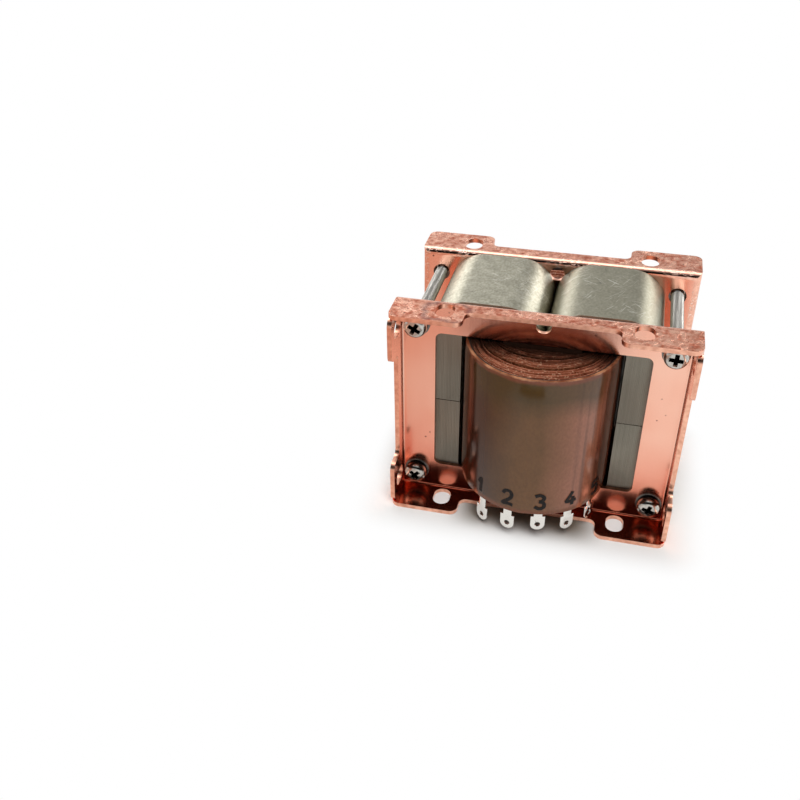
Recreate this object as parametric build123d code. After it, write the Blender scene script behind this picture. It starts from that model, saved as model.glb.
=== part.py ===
from build123d import *
import os
from math import cos, radians, sin

# Audio output transformer: two cut C-cores side by side, one coil round both centre legs,
# and a front and a rear sheet frame drawn together by four screws.
# Millimetres. X runs across, -Y is the front, +Z is up.
# The origin is the bottom centre: both frames' lower flanges stand on Z = 0.

# Sheet frames
frame_width = 87.0
frame_height = 71.2
sheet = 1.4
bend_inner_radius = 0.7
ear_reach = 13.1
waist_reach = 6.1
wide_ear_length = 21.6
side_ear_length = 14.8
ear_corner_radius = 2.6
ear_root_radius = 2.2
corner_seam = 0.35
corner_relief = 2.0
window_core_lip = 2.3
window_clearance = 0.45
window_corner_radius = 2.0
eyelet_diameter = 4.6
eyelet_wall = 0.2

# Mounting slots, one pattern for the upper and lower ears and one for the side ears
slot_length = 7.6
slot_width = 5.5
slot_centre_reach = 6.4
wide_slot_inset = 15.6
side_slot_inset = 7.8

# Cut C-cores, wound from strip
strip_width = 32.6
core_build = 10.0
core_inner_radius = 1.5
core_end_clearance = 0.2
core_screw_clearance = 1.3
gap_paper = 0.2

# Coil: flat sides along the core, round crowns at the front and the rear.
# The windings share the room that the former, the papers and the wrap leave between the legs.
former_clearance = 0.25
former_wall = 1.2
former_end_clearance = 0.8
coil_end_clearance = 1.05
coil_side_clearance = 0.8
crown_setback = 3.2
crown_half_angle = 40.0
crown_slack = 0.6
inner_primary_share = 0.34
secondary_share = 0.28
interlayer_build = 0.4
lug_paper_build = 0.9
wrap_build = 0.8
layer_paper = 0.35
wire_margin = 1.7
layer_margin = 0.7
interlayer_margin = 0.3
layer_pitch = 1.1

# Solder lugs, stamped from tinned sheet. The hang says how much lower each one sits than
# the even row, from left to right, because they were pushed in by hand.
lug_hang = (1.8, 0.3, -0.9, 0.1, 0.3)
lug_first_angle = -36.6
lug_pitch_angle = 24.4
lug_thickness = 0.5
lug_neck_width = 2.6
lug_head_width = 4.4
lug_hole_diameter = 1.7
lug_drop = 7.4
lug_neck_drop = 2.0
lug_depth_in_coil = 9.0
lug_clearance = 0.05

# Clamping screws, M4 pan heads with a cross recess
screw_diameter = 4.0
screw_inset_z = 8.0
screw_end_beyond_nut = 3.8
screw_hole_clearance = 0.7
head_diameter = 7.0
head_height = 2.6
head_chamfer = 1.1
recess_width = 0.95
recess_span = 4.0
recess_depth = 1.5
spring_washer_outer = 7.1
spring_washer_thickness = 1.0
spring_washer_split = 0.9
flat_washer_outer = 8.0
flat_washer_thickness = 0.8
washer_bore_clearance = 0.3
washer_bend_clearance = 0.1
nut_across_flats = 7.0
nut_height = 3.2
nut_bore_clearance = 0.05

# Places that follow from the sizes above
mid_height = frame_height / 2
plate_back = strip_width / 2
plate_face = plate_back + sheet
ear_edge = plate_back + ear_reach
waist_edge = plate_back + waist_reach
slot_centre = plate_back + slot_centre_reach
bend_outer_radius = bend_inner_radius + sheet
eyelet_drop = bend_outer_radius + eyelet_wall + eyelet_diameter / 2
screw_inset_x = sheet + bend_inner_radius + washer_bend_clearance + flat_washer_outer / 2
screw_half_x = frame_width / 2 - screw_inset_x
screw_half_z = mid_height - screw_inset_z
front_washer_face = -plate_face - flat_washer_thickness
screw_seat = front_washer_face - spring_washer_thickness
nut_face = plate_face + flat_washer_thickness
screw_end = nut_face + nut_height + screw_end_beyond_nut

core_width = screw_half_x - screw_diameter / 2 - core_screw_clearance
core_height = frame_height - 2 * core_end_clearance
core_outer_radius = core_inner_radius + core_build

coil_height = core_height - 2 * (core_build + coil_end_clearance)
former_height = core_height - 2 * (core_build + former_end_clearance)
winding_height = coil_height - 2 * wire_margin
layer_height = coil_height - 2 * layer_margin
interlayer_height = coil_height - 2 * interlayer_margin
window_width = 2 * (core_width - window_core_lip)
window_height = coil_height + 2 * window_clearance

# The coil's outside is a full round at the front and the rear
flat_half = plate_back - crown_setback
coil_half_width = core_width - core_build - coil_side_clearance
coil_reach = flat_half + coil_half_width
former_half_width = core_build + former_clearance + former_wall
former_half_depth = plate_back + former_clearance + former_wall
paper_build = 2 * interlayer_build + lug_paper_build + wrap_build
winding_room = coil_half_width - former_half_width - paper_build
inner_primary_build = inner_primary_share * winding_room
secondary_build = secondary_share * winding_room
outer_primary_build = winding_room - inner_primary_build - secondary_build
slack_count = 5
crown_room = coil_reach - former_half_depth - paper_build - slack_count * crown_slack
crown_swell = crown_room / winding_room
bottom_of_coil = mid_height - coil_height / 2
lug_arc_radius = coil_half_width - wrap_build
lug_count = len(lug_hang)
cut_margin = 5.0


def block(x_low, x_high, y_low, y_high, z_low, z_high):
    """A box between two opposite corners."""
    centre = ((x_low + x_high) / 2, (y_low + y_high) / 2, (z_low + z_high) / 2)
    return Pos(*centre) * Box(x_high - x_low, y_high - y_low, z_high - z_low)


def across(radius, y_low, y_high, x=0.0, z=0.0):
    """A cylinder that runs along Y."""
    length = y_high - y_low
    return Pos(x, (y_low + y_high) / 2, z) * Rot(90, 0, 0) * Cylinder(radius, length)


def screw_places():
    """The four clamping screws, as X and Z."""
    quadrants = ((-1, -1), (1, -1), (-1, 1), (1, 1))
    return [(sx * screw_half_x, mid_height + sz * screw_half_z) for sx, sz in quadrants]


# Sheet frames
def folded_tray():
    """The blank after folding, open to the front: a plate with four flanges."""
    half = frame_width / 2
    outer = block(-half, half, -ear_edge, -plate_back, 0, frame_height)
    back_edges = outer.faces().sort_by(Axis.Y)[-1].edges()
    outer = fillet(back_edges, bend_outer_radius)
    inner = block(sheet - half, half - sheet, -ear_edge - cut_margin, -plate_face,
                  sheet, frame_height - sheet)
    floor_edges = inner.faces().sort_by(Axis.Y)[-1].edges()
    return outer - fillet(floor_edges, bend_inner_radius)


def ear_notch(span, ear_length, depth):
    """The part of a flange cut away between two ears, lying in XY and centred on X = 0."""
    opening = span - 2 * ear_length
    front = -ear_edge - cut_margin
    body = Pos(0, (front - waist_edge) / 2) * Rectangle(opening, -waist_edge - front)
    body = fillet(body.vertices().group_by(Axis.Y)[-1], ear_root_radius)
    reach = ear_corner_radius
    for side in (-1, 1):
        corner = (side * opening / 2, -ear_edge)
        flare = Pos(corner[0] + side * reach / 2, corner[1] + reach / 2) * Rectangle(reach, reach)
        ear_tip = Pos(corner[0] + side * reach, corner[1] + reach) * Circle(reach)
        body += flare - ear_tip
    return extrude(body, depth / 2, both=True)


def ear_tip_cut(span, depth):
    """The waste outside the rounded outer corners of a flange's two ears, lying in XY."""
    reach = ear_corner_radius
    waste = Sketch()
    for side in (-1, 1):
        corner = (side * span / 2, -ear_edge)
        square = Pos(corner[0] - side * reach / 2, corner[1] + reach / 2) * Rectangle(reach, reach)
        ear_tip = Pos(corner[0] - side * reach, corner[1] + reach) * Circle(reach)
        waste += square - ear_tip
    return extrude(waste, depth / 2, both=True)


def flange_slots(spacing, depth):
    """Two slots, long along Y, for one flange lying in XY."""
    slot = Rot(0, 0, 90) * SlotOverall(slot_length, slot_width)
    pair = Sketch() + [Pos(side * spacing / 2, -slot_centre) * slot for side in (-1, 1)]
    return extrude(pair, depth / 2, both=True)


def frame_window():
    """The window that the coil bulges through, with the eyelet over and under it."""
    outline = RectangleRounded(window_width, window_height, window_corner_radius)
    window = extrude(Rot(90, 0, 0) * outline, sheet + cut_margin, both=True)
    cut = Pos(0, -plate_back, mid_height) * window
    for z in (eyelet_drop, frame_height - eyelet_drop):
        cut += across(eyelet_diameter / 2, -plate_face - cut_margin, -plate_back + cut_margin, 0, z)
    return cut


def corner_seams():
    """Saw-thin seams where each side flange butts under the upper and lower flanges."""
    half = frame_width / 2
    seams = Part()
    for side in (-1, 1):
        x_low, x_high = sorted((side * (half - sheet - corner_seam), side * (half + cut_margin)))
        for z in (sheet + corner_seam / 2, frame_height - sheet - corner_seam / 2):
            seams += block(x_low, x_high, -ear_edge - cut_margin, -plate_face - corner_relief,
                           z - corner_seam / 2, z + corner_seam / 2)
    return seams


def frame_sheet():
    """The front frame: one folded sheet with a window, ears, slots and screw holes."""
    side_span = frame_height - 2 * (sheet + corner_seam)
    body = folded_tray() - frame_window() - corner_seams()
    wide_cut = (
        ear_notch(frame_width, wide_ear_length, 2 * sheet)
        + ear_tip_cut(frame_width, 2 * sheet)
        + flange_slots(frame_width - 2 * wide_slot_inset, 2 * sheet + cut_margin)
    )
    for z in (sheet / 2, frame_height - sheet / 2):
        body -= Pos(0, 0, z) * wide_cut
    side_cut = (
        ear_notch(side_span, side_ear_length, 2 * sheet)
        + ear_tip_cut(side_span, 2 * sheet)
        + flange_slots(frame_height - 2 * side_slot_inset, 2 * sheet + cut_margin)
    )
    for side in (-1, 1):
        body -= Pos(side * (frame_width - sheet) / 2, 0, mid_height) * Rot(0, 90, 0) * side_cut
    hole_radius = screw_diameter / 2 + screw_hole_clearance
    for x, z in screw_places():
        body -= across(hole_radius, -plate_face - cut_margin, -plate_back + cut_margin, x, z)
    return body


# Cores
def core_loop():
    """One closed loop of wound strip, in XZ, with its centre leg's face on X = 0."""
    outer = RectangleRounded(core_width, core_height, core_outer_radius)
    inner = RectangleRounded(core_width - 2 * core_build, core_height - 2 * core_build,
                             core_inner_radius)
    ring = extrude(outer - inner, plate_back, both=True)
    return Pos(core_width / 2, 0, mid_height) * Rot(90, 0, 0) * ring


def core_half(side, level):
    """One C of a loop that is cut at mid height, with half the gap paper taken off its faces."""
    far = core_width + cut_margin
    x_low, x_high = sorted((0, side * far))
    if level > 0:
        keep = block(x_low, x_high, -far, far, mid_height + gap_paper / 2, frame_height + far)
    else:
        keep = block(x_low, x_high, -far, far, -far, mid_height - gap_paper / 2)
    loop = core_loop() if side > 0 else mirror(core_loop(), Plane.YZ)
    return loop & keep


def gap_papers():
    """The paper in the cut of each leg: two outer legs and two centre legs."""
    papers = []
    for side in (-1, 1):
        for inner_edge in (0, core_width - core_build):
            x_low, x_high = sorted((side * inner_edge, side * (inner_edge + core_build)))
            papers.append(block(x_low, x_high, -plate_back, plate_back,
                                mid_height - gap_paper / 2, mid_height + gap_paper / 2))
    return Compound(children=papers)


# Coil
def turn_outline(half_width, reach):
    """One turn seen from above: flat sides, and a three-centred arch to the front and rear.

    The crown arc spans crown_half_angle each side of Y, and the shoulder arcs take up the
    rest of each quarter turn, so both radii follow from the half width and the rise.
    """
    rise = reach - flat_half
    lean = radians(crown_half_angle)
    share = sin(lean) + cos(lean) - 1
    crown_radius = (half_width * cos(lean) - rise * (1 - sin(lean))) / share
    shoulder_radius = (rise * sin(lean) - half_width * (1 - cos(lean))) / share
    joint = (crown_radius * sin(lean), reach - crown_radius * (1 - cos(lean)))
    bisector = (lean + radians(90)) / 2
    shoulder = (half_width - shoulder_radius * (1 - sin(bisector)),
                flat_half + shoulder_radius * cos(bisector))
    quarter = [
        Line((half_width, 0), (half_width, flat_half)),
        ThreePointArc((half_width, flat_half), shoulder, joint),
    ]
    crown = ThreePointArc(joint, (0, reach), (-joint[0], joint[1]))
    half = quarter + [mirror(edge, Plane.YZ) for edge in quarter] + [crown]
    return make_face(half + [mirror(edge, Plane.XZ) for edge in half])


def upright(face, height):
    """A face in XY raised to a solid that is centred on the object's middle."""
    return Pos(0, 0, mid_height) * extrude(face, height / 2, both=True)


def layer(inner_face, outer_face, height):
    """A closed sleeve between two turn outlines."""
    return upright(outer_face - inner_face, height)


class Growth:
    """The half width and the reach of the coil as it grows, layer by layer."""

    def __init__(self, half_width=former_half_width, reach=former_half_depth):
        self.half_width = half_width
        self.reach = reach

    def face(self):
        return turn_outline(self.half_width, self.reach)

    def grow(self, thickness, swell=1.0):
        self.half_width += thickness
        self.reach += thickness * swell

    def slacken(self):
        self.reach += crown_slack


def former_face(extra):
    """The rectangle of the centre legs, with extra added all round."""
    return Rectangle(2 * (core_build + extra), 2 * (plate_back + extra))


def coil_former():
    """The tube that the coil is wound on, over both centre legs."""
    outer = former_face(former_clearance + former_wall)
    return layer(former_face(former_clearance), outer, former_height)


def winding(growth, thickness, inner_face):
    """A wound section, with the edges of its layer papers standing proud of the wire."""
    start = (growth.half_width, growth.reach)
    growth.grow(thickness, crown_swell)
    body = layer(inner_face, growth.face(), winding_height)
    papers = max(1, round(thickness / layer_pitch))
    for count in range(papers):
        outer = Growth(*start)
        outer.grow(thickness * (count + 1) / papers, crown_swell)
        inner = turn_outline(outer.half_width - layer_paper, outer.reach - layer_paper)
        body += layer(inner, outer.face(), layer_height) - upright(inner_face, layer_height)
    return body


def coil_layers():
    """Every sleeve of the coil from the former outwards, by node name."""
    growth = Growth()
    layers = {"coil_former": coil_former()}
    bare_former = former_face(former_clearance + former_wall)
    layers["inner_primary"] = winding(growth, inner_primary_build, bare_former)
    layers["inner_interlayer"] = plain_sleeve(growth, interlayer_build, interlayer_height)
    growth.slacken()
    layers["secondary"] = winding(growth, secondary_build, growth.face())
    layers["outer_interlayer"] = plain_sleeve(growth, interlayer_build, interlayer_height)
    growth.slacken()
    layers["outer_primary"] = winding(growth, outer_primary_build, growth.face())
    paper = plain_sleeve(growth, lug_paper_build, interlayer_height)
    layers["lug_paper"] = paper - lug_pockets()
    layers["outer_wrap"] = sleeve(growth, wrap_build, coil_height)
    return layers


def plain_sleeve(growth, thickness, height):
    """A paper sleeve that lies on the winding at the sides and slack of it at the crowns."""
    growth.slacken()
    return sleeve(growth, thickness, height)


def sleeve(growth, thickness, height):
    """A sleeve that lies tight on the layer under it all round."""
    inner_face = growth.face()
    growth.grow(thickness)
    return layer(inner_face, growth.face(), height)


# Solder lugs
def lug_place(index):
    """Where a lug stands: on the front round, just under the wrap, and facing outwards."""
    turn = Rot(0, 0, lug_first_angle + index * lug_pitch_angle)
    inward = lug_thickness / 2 + lug_clearance
    return Pos(0, -flat_half, -lug_hang[index]) * turn * Pos(0, inward - lug_arc_radius, 0)


def lug_pockets():
    """The slits in the paper that hold the lugs' tails."""
    width = lug_neck_width + 2 * lug_clearance
    depth = lug_thickness + 2 * lug_clearance
    top = bottom_of_coil + lug_depth_in_coil + lug_clearance
    slit = block(-width / 2, width / 2, -depth / 2 - lug_clearance, depth / 2,
                 bottom_of_coil - cut_margin, top)
    pockets = Part()
    for index in range(lug_count):
        pockets += lug_place(index) * slit
    return pockets


def solder_lug():
    """A stamped lug: a straight tail, and a wider head with a rounded end and a wire hole."""
    head_radius = lug_head_width / 2
    tail_top = bottom_of_coil + lug_depth_in_coil
    head_top = bottom_of_coil - lug_neck_drop
    tip_centre = bottom_of_coil - lug_drop + head_radius
    tail = Pos(0, (head_top + tail_top) / 2) * Rectangle(lug_neck_width, tail_top - head_top)
    head = Pos(0, (head_top + tip_centre) / 2) * Rectangle(lug_head_width, head_top - tip_centre)
    tip = Pos(0, tip_centre) * Circle(head_radius)
    hole = Pos(0, tip_centre) * Circle(lug_hole_diameter / 2)
    return extrude(Rot(90, 0, 0) * (tail + head + tip - hole), lug_thickness / 2, both=True)


# Fasteners
def pan_head_screw(x, z):
    """A cross recessed pan head screw that enters from the front."""
    face = screw_seat - head_height
    shank = across(screw_diameter / 2, screw_seat, screw_end, x, z)
    head = across(head_diameter / 2, face, screw_seat, x, z)
    rim = head.edges().filter_by(GeomType.CIRCLE).sort_by(Axis.Y)[0]
    head = chamfer(rim, head_chamfer)
    recess = Part()
    for turn in (45, 135):
        arm = Box(recess_span, 2 * recess_depth, recess_width)
        recess += Pos(x, face, z) * Rot(0, turn, 0) * arm
    return shank + head - recess


def washer(outer, face, thickness, x, z):
    """A plain ring on the screw, from its face towards +Y."""
    bore = screw_diameter / 2 + washer_bore_clearance
    ring = across(outer / 2, face, face + thickness, x, z)
    return ring - across(bore, face - cut_margin, face + cut_margin, x, z)


def front_washer(x, z):
    return washer(flat_washer_outer, front_washer_face, flat_washer_thickness, x, z)


def rear_washer(x, z):
    return washer(flat_washer_outer, plate_face, flat_washer_thickness, x, z)


def spring_washer(x, z):
    """A split ring between the head and the flat washer."""
    ring = washer(spring_washer_outer, screw_seat, spring_washer_thickness, x, z)
    split = Box(spring_washer_outer, cut_margin, spring_washer_split)
    return ring - Pos(x + spring_washer_outer / 2, screw_seat, z) * split


def hex_nut(x, z):
    """A hexagon nut on the rear washer."""
    hexagon = RegularPolygon(nut_across_flats / 2, 6, major_radius=False)
    prism = Pos(x, nut_face + nut_height, z) * Rot(90, 0, 0) * extrude(hexagon, nut_height)
    bore = screw_diameter / 2 + nut_bore_clearance
    return prism - across(bore, nut_face - cut_margin, nut_face + nut_height + cut_margin, x, z)


def fasteners():
    """The four screws with their washers and nuts, by node name."""
    kinds = {
        "clamp_screws": pan_head_screw,
        "spring_washers": spring_washer,
        "front_washers": front_washer,
        "rear_washers": rear_washer,
        "nuts": hex_nut,
    }
    return {
        name: Compound(children=[Part() + make(x, z) for x, z in screw_places()])
        for name, make in kinds.items()
    }


def whole_model():
    """Every sub-part, by node name."""
    front = frame_sheet()
    parts = {"front_frame": front, "rear_frame": mirror(front, Plane.XZ)}
    for side, side_name in ((-1, "left"), (1, "right")):
        for level, level_name in ((1, "upper"), (-1, "lower")):
            parts[f"{side_name}_core_{level_name}"] = core_half(side, level)
    parts["gap_papers"] = gap_papers()
    parts.update(coil_layers())
    for index in range(lug_count):
        parts[f"solder_lug_{index + 1}"] = lug_place(index) * solder_lug()
    parts.update(fasteners())
    return parts


os.makedirs("parts", exist_ok=True)
for name, shape in whole_model().items():
    export_step(shape, f"parts/{name}.step")
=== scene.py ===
"""An audio output transformer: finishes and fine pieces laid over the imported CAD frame."""
import logging
import math
from collections.abc import Iterable
from dataclasses import dataclass
from enum import Enum
from functools import reduce
from typing import Any

import bmesh
import bpy
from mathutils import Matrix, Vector


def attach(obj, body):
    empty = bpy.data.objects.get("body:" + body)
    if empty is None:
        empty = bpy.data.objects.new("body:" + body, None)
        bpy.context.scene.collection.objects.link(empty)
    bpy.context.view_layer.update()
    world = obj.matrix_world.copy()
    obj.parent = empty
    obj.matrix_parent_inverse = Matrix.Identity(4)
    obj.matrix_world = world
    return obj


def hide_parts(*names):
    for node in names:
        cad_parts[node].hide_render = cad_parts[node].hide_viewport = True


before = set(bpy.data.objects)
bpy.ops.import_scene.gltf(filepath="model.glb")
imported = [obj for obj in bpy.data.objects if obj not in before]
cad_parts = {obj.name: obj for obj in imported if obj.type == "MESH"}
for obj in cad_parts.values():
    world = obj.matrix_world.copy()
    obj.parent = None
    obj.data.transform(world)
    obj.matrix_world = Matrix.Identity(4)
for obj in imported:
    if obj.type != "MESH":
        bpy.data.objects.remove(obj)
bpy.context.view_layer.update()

MM = 0.001
BODY = "root"
# The height of the cut in the cores, half way up the frames, in millimetres
MIDDLE = 35.6
log = logging.getLogger("audio_transformer")

Tree = bpy.types.NodeTree
Piece = bpy.types.Object
Spot = tuple[float, float, float]
Span = tuple[float, float]


class Facing(Enum):
    """Which way a sheet frame opens, as the sign of Y."""

    FRONT = -1
    REAR = 1


class Side(Enum):
    """Which of the two cores, as the sign of X."""

    LEFT = -1
    RIGHT = 1


class Level(Enum):
    """Which half of a cut core, as the sign of Z from the cut."""

    LOWER = -1
    UPPER = 1


class SheetFace(Enum):
    """Which surface of a folded sheet a face belongs to."""

    INNER = 0
    OUTER = 1
    CUT = 2
    BEND = 3


# Tools for nodes


def linear(code: str) -> tuple[float, float, float, float]:
    """Turns an sRGB hex colour into linear light.

    Args:
        code: Six hex digits after a hash sign.

    Returns:
        Red, green, blue and an alpha of one.
    """
    parts = [int(code[place:place + 2], 16) / 255 for place in (1, 3, 5)]
    light = [part / 12.92 if part <= 0.04045 else ((part + 0.055) / 1.055) ** 2.4 for part in parts]
    return (light[0], light[1], light[2], 1.0)


def metres(sizes: Iterable[float]) -> tuple[float, ...]:
    """Turns sizes in millimetres into metres."""
    return tuple(size * MM for size in sizes)


@dataclass(frozen=True)
class Wire:
    """What one output of a node carries: a number, a colour, a shape or a shader.

    A sum or a mix on it adds a node to the same tree.
    """

    tree: Tree
    node: bpy.types.Node
    output: str | int | None = None

    @property
    def socket(self) -> bpy.types.NodeSocket:
        """The output, which is the node's first one in use if none is named."""
        if self.output is None:
            return next(item for item in self.node.outputs if item.enabled)
        return self.node.outputs[self.output]

    def __getitem__(self, output: str | int) -> "Wire":
        """Gives another output of the same node."""
        return Wire(self.tree, self.node, output)

    def reckon(self, operation: str, *others: Any) -> "Wire":
        """Works out one sum, such as MAXIMUM, of this number and others."""
        values = dict(enumerate((self, *others)))
        return add_node(self.tree, "ShaderNodeMath", {"operation": operation}, values)

    def __add__(self, other: Any) -> "Wire":
        """Adds a number."""
        return self.reckon("ADD", other)

    def __sub__(self, other: Any) -> "Wire":
        """Takes a number away."""
        return self.reckon("SUBTRACT", other)

    def __mul__(self, other: Any) -> "Wire":
        """Multiplies by a number."""
        return self.reckon("MULTIPLY", other)

    def __truediv__(self, other: Any) -> "Wire":
        """Divides by a number."""
        return self.reckon("DIVIDE", other)

    def __rtruediv__(self, other: float) -> "Wire":
        """Divides a number by this one."""
        return add_node(self.tree, "ShaderNodeMath", {"operation": "DIVIDE"}, {0: other, 1: self})

    def __abs__(self) -> "Wire":
        """Leaves out the sign."""
        return self.reckon("ABSOLUTE")

    def between(self, first: Any, second: Any) -> "Wire":
        """Mixes two numbers by this one, from nought to one."""
        return add_node(self.tree, "ShaderNodeMix", {"data_type": "FLOAT"}, {
            "Factor": self, "A": first, "B": second})

    def blend(self, first: Any, second: Any) -> "Wire":
        """Mixes two colours by this number, each a hex code or a wire."""
        colours = [linear(colour) if isinstance(colour, str) else colour for colour in (first, second)]
        return add_node(self.tree, "ShaderNodeMix", {"data_type": "RGBA"}, {
            "Factor": self, "A": colours[0], "B": colours[1]})

    def slope(self, start: float, end: float, top: float = 1.0) -> "Wire":
        """Runs evenly from nought, where this number is the start, to a top level at the end."""
        return add_node(self.tree, "ShaderNodeMapRange", links={
            "Value": self, "From Min": start, "From Max": end, "To Max": top})

    def eased(self, start: float, end: float, first: float = 0.0, last: float = 1.0) -> "Wire":
        """Eases from a first to a last level while this number goes from the start to the end."""
        return add_node(self.tree, "ShaderNodeMapRange", {"interpolation_type": "SMOOTHSTEP"}, {
            "Value": self, "From Min": start, "From Max": end, "To Min": first, "To Max": last})


def add_node(
    tree: Tree,
    kind: str,
    settings: dict[str, Any] | None = None,
    links: dict[str | int, Any] | None = None,
) -> Wire:
    """Adds a node with its settings and links.

    Args:
        tree: The material's or the Geometry Nodes tree.
        kind: Blender's name for the kind of node.
        settings: Values for the node's own settings.
        links: For an input's name or place, a value or a wire.

    Returns:
        What the node's first output in use carries.
    """
    node = tree.nodes.new(kind)
    for name, value in (settings or {}).items():
        setattr(node, name, value)
    for key, value in (links or {}).items():
        if isinstance(key, int):
            socket = node.inputs[key]
        else:
            socket = next(item for item in node.inputs if item.enabled and item.name == key)
        if isinstance(value, Wire):
            tree.links.new(value.socket, socket)
        else:
            socket.default_value = value
    return Wire(tree, node)


def object_axes(tree: Tree) -> Wire:
    """Gives the place on a dressed piece as outputs X, Y and Z, in metres."""
    return add_node(tree, "ShaderNodeSeparateXYZ", links={0: add_node(tree, "ShaderNodeTexCoord")["Object"]})


def point_axes(tree: Tree) -> Wire:
    """Gives the place of a shape's point as outputs X, Y and Z, in metres."""
    return add_node(tree, "ShaderNodeSeparateXYZ", links={0: add_node(tree, "GeometryNodeInputPosition")})


def marks(tree: Tree, *names: str) -> list[Wire]:
    """Reads in a material the numbers that a piece's faces or points carry under these names."""
    return [add_node(tree, "ShaderNodeAttribute", {"attribute_name": name})["Fac"] for name in names]


def layered(base: Any, *layers: tuple[Wire, Any]) -> Any:
    """Lays colours over a base one after another, each as far as its number says."""
    return reduce(lambda under, layer: layer[0].blend(under, layer[1]), layers, base)


def strongest(levels: Iterable[Wire]) -> Wire:
    """Gives the highest of several numbers."""
    return reduce(lambda first, second: first.reckon("MAXIMUM", second), levels)


def with_relief(height: Wire, strength: float, depth: float, values: dict[str, Any]) -> Wire:
    """Adds the shader of a surface that has a relief.

    Args:
        height: The relief's height.
        strength: How much of it shows, up to one.
        depth: The depth, in millimetres, of a height of one.
        values: A value or a wire for each other input of the shader.

    Returns:
        The shader.
    """
    relief = add_node(height.tree, "ShaderNodeBump", links={
        "Height": height, "Strength": strength, "Distance": depth * MM})
    return add_node(height.tree, "ShaderNodeBsdfPrincipled", links={**values, "Normal": relief})


def pattern_space(tree: Tree, size: Spot, place: Spot = (0, 0, 0), turn: Spot = (0, 0, 0)) -> Wire:
    """Gives the place on a dressed piece in a pattern's own measure.

    Args:
        tree: The material's tree.
        size: The lengths in millimetres that become one.
        place: The pattern's origin, in millimetres.
        turn: The pattern's turn about X, Y and Z, in degrees.

    Returns:
        The place.
    """
    return add_node(tree, "ShaderNodeMapping", {"vector_type": "TEXTURE"}, {
        "Vector": add_node(tree, "ShaderNodeTexCoord")["Object"], "Location": metres(place),
        "Rotation": tuple(math.radians(angle) for angle in turn), "Scale": metres(size)})


@dataclass(frozen=True)
class Patches:
    """A pattern of soft random patches of a real size, from nought to one.

    The size is a patch's length along X, Y and Z. The noise values in the span become nought
    and one, detail counts the noise's finer layers, the shift keeps two patterns from being
    alike, the turn is about X, Y and Z in degrees, and the warp twists the patches. Lengths
    are in millimetres.
    """

    size: Spot
    span: Span = (0.35, 0.65)
    detail: float = 2.0
    shift: float = 0.0
    turn: Spot = (0.0, 0.0, 0.0)
    warp: float = 0.0

    def on(self, tree: Tree) -> Wire:
        """Adds the pattern to a material's tree."""
        space = pattern_space(tree, self.size, (self.shift, 2 * self.shift, 3 * self.shift), self.turn)
        noise = add_node(tree, "ShaderNodeTexNoise", links={
            "Vector": space, "Scale": 1.0, "Detail": self.detail, "Distortion": self.warp})
        return noise["Fac"].slope(*self.span)


@dataclass(frozen=True)
class WavyLines:
    """A pattern of thin wavy lines, such as drying marks, that is one on a line.

    The size is that of the loops that the lines make, in millimetres, and the width is a
    share of the noise that they follow.
    """

    size: float
    width: float
    shift: float

    def on(self, tree: Tree) -> Wire:
        """Adds the pattern to a material's tree."""
        loops = Patches((self.size,) * 3, (0.0, 1.0), 3.0, self.shift, warp=0.5).on(tree)
        return abs(loops - 0.5).slope(self.width, 0.0)


def scratches(length: float, angle: float, shift: float, amount: float) -> Patches:
    """Gives a pattern of fine straight scratches.

    Args:
        length: The length of a scratch, in millimetres.
        angle: Their turn about Z, in degrees, and two thirds of it about X.
        shift: How far the pattern is moved, in millimetres.
        amount: The share of the surface that is scratched, from nought to one.

    Returns:
        The pattern, which is one on a scratch.
    """
    width = 0.22
    turn = (angle * 0.67, 0.0, angle)
    edge = 0.74 - 0.18 * amount
    return Patches((length, width, length), (edge, edge + 0.04), 1.0, shift, turn, warp=0.15)


# Tools for Geometry Nodes trees


def new_tree(name: str, **inputs: tuple[str, ...]) -> tuple[Tree, Wire]:
    """Starts a Geometry Nodes tree that gives one geometry and takes a material.

    Args:
        name: The tree's name.
        inputs: For each kind of socket, the names of the inputs of that kind.

    Returns:
        The tree and its inputs.
    """
    tree = bpy.data.node_groups.new(name, "GeometryNodeTree")
    tree.interface.new_socket(name="Geometry", in_out="OUTPUT", socket_type="NodeSocketGeometry")
    for kind, labels in (*inputs.items(), ("Material", ("Material",))):
        for label in labels:
            tree.interface.new_socket(name=label, in_out="INPUT", socket_type=f"NodeSocket{kind}")
    return tree, add_node(tree, "NodeGroupInput")


def finish_tree(shape: Wire, material: Wire) -> None:
    """Ends a tree with real meshes that carry their material."""
    real = add_node(shape.tree, "GeometryNodeRealizeInstances", links={"Geometry": shape})
    dressed = add_node(shape.tree, "GeometryNodeSetMaterial", links={"Geometry": real, "Material": material})
    add_node(shape.tree, "NodeGroupOutput", links={0: dressed})


def run_tree(piece: Piece, tree: Tree, lengths: dict[str, float], others: dict[str, Any]) -> None:
    """Gives a piece the mesh that a Geometry Nodes tree makes from named values.

    Args:
        piece: The object, whose own mesh is what goes into the tree.
        tree: The Geometry Nodes tree.
        lengths: A length in millimetres for each named input that takes one.
        others: A value for each other named input.
    """
    modifier = piece.modifiers.new("shape", "NODES")
    modifier.node_group = tree
    sockets = {item.name: item.identifier for item in tree.interface.items_tree
               if item.item_type == "SOCKET" and item.in_out == "INPUT"}
    for name, value in {**{name: length * MM for name, length in lengths.items()}, **others}.items():
        modifier[sockets[name]] = value
    evaluated_mesh(piece)


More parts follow.
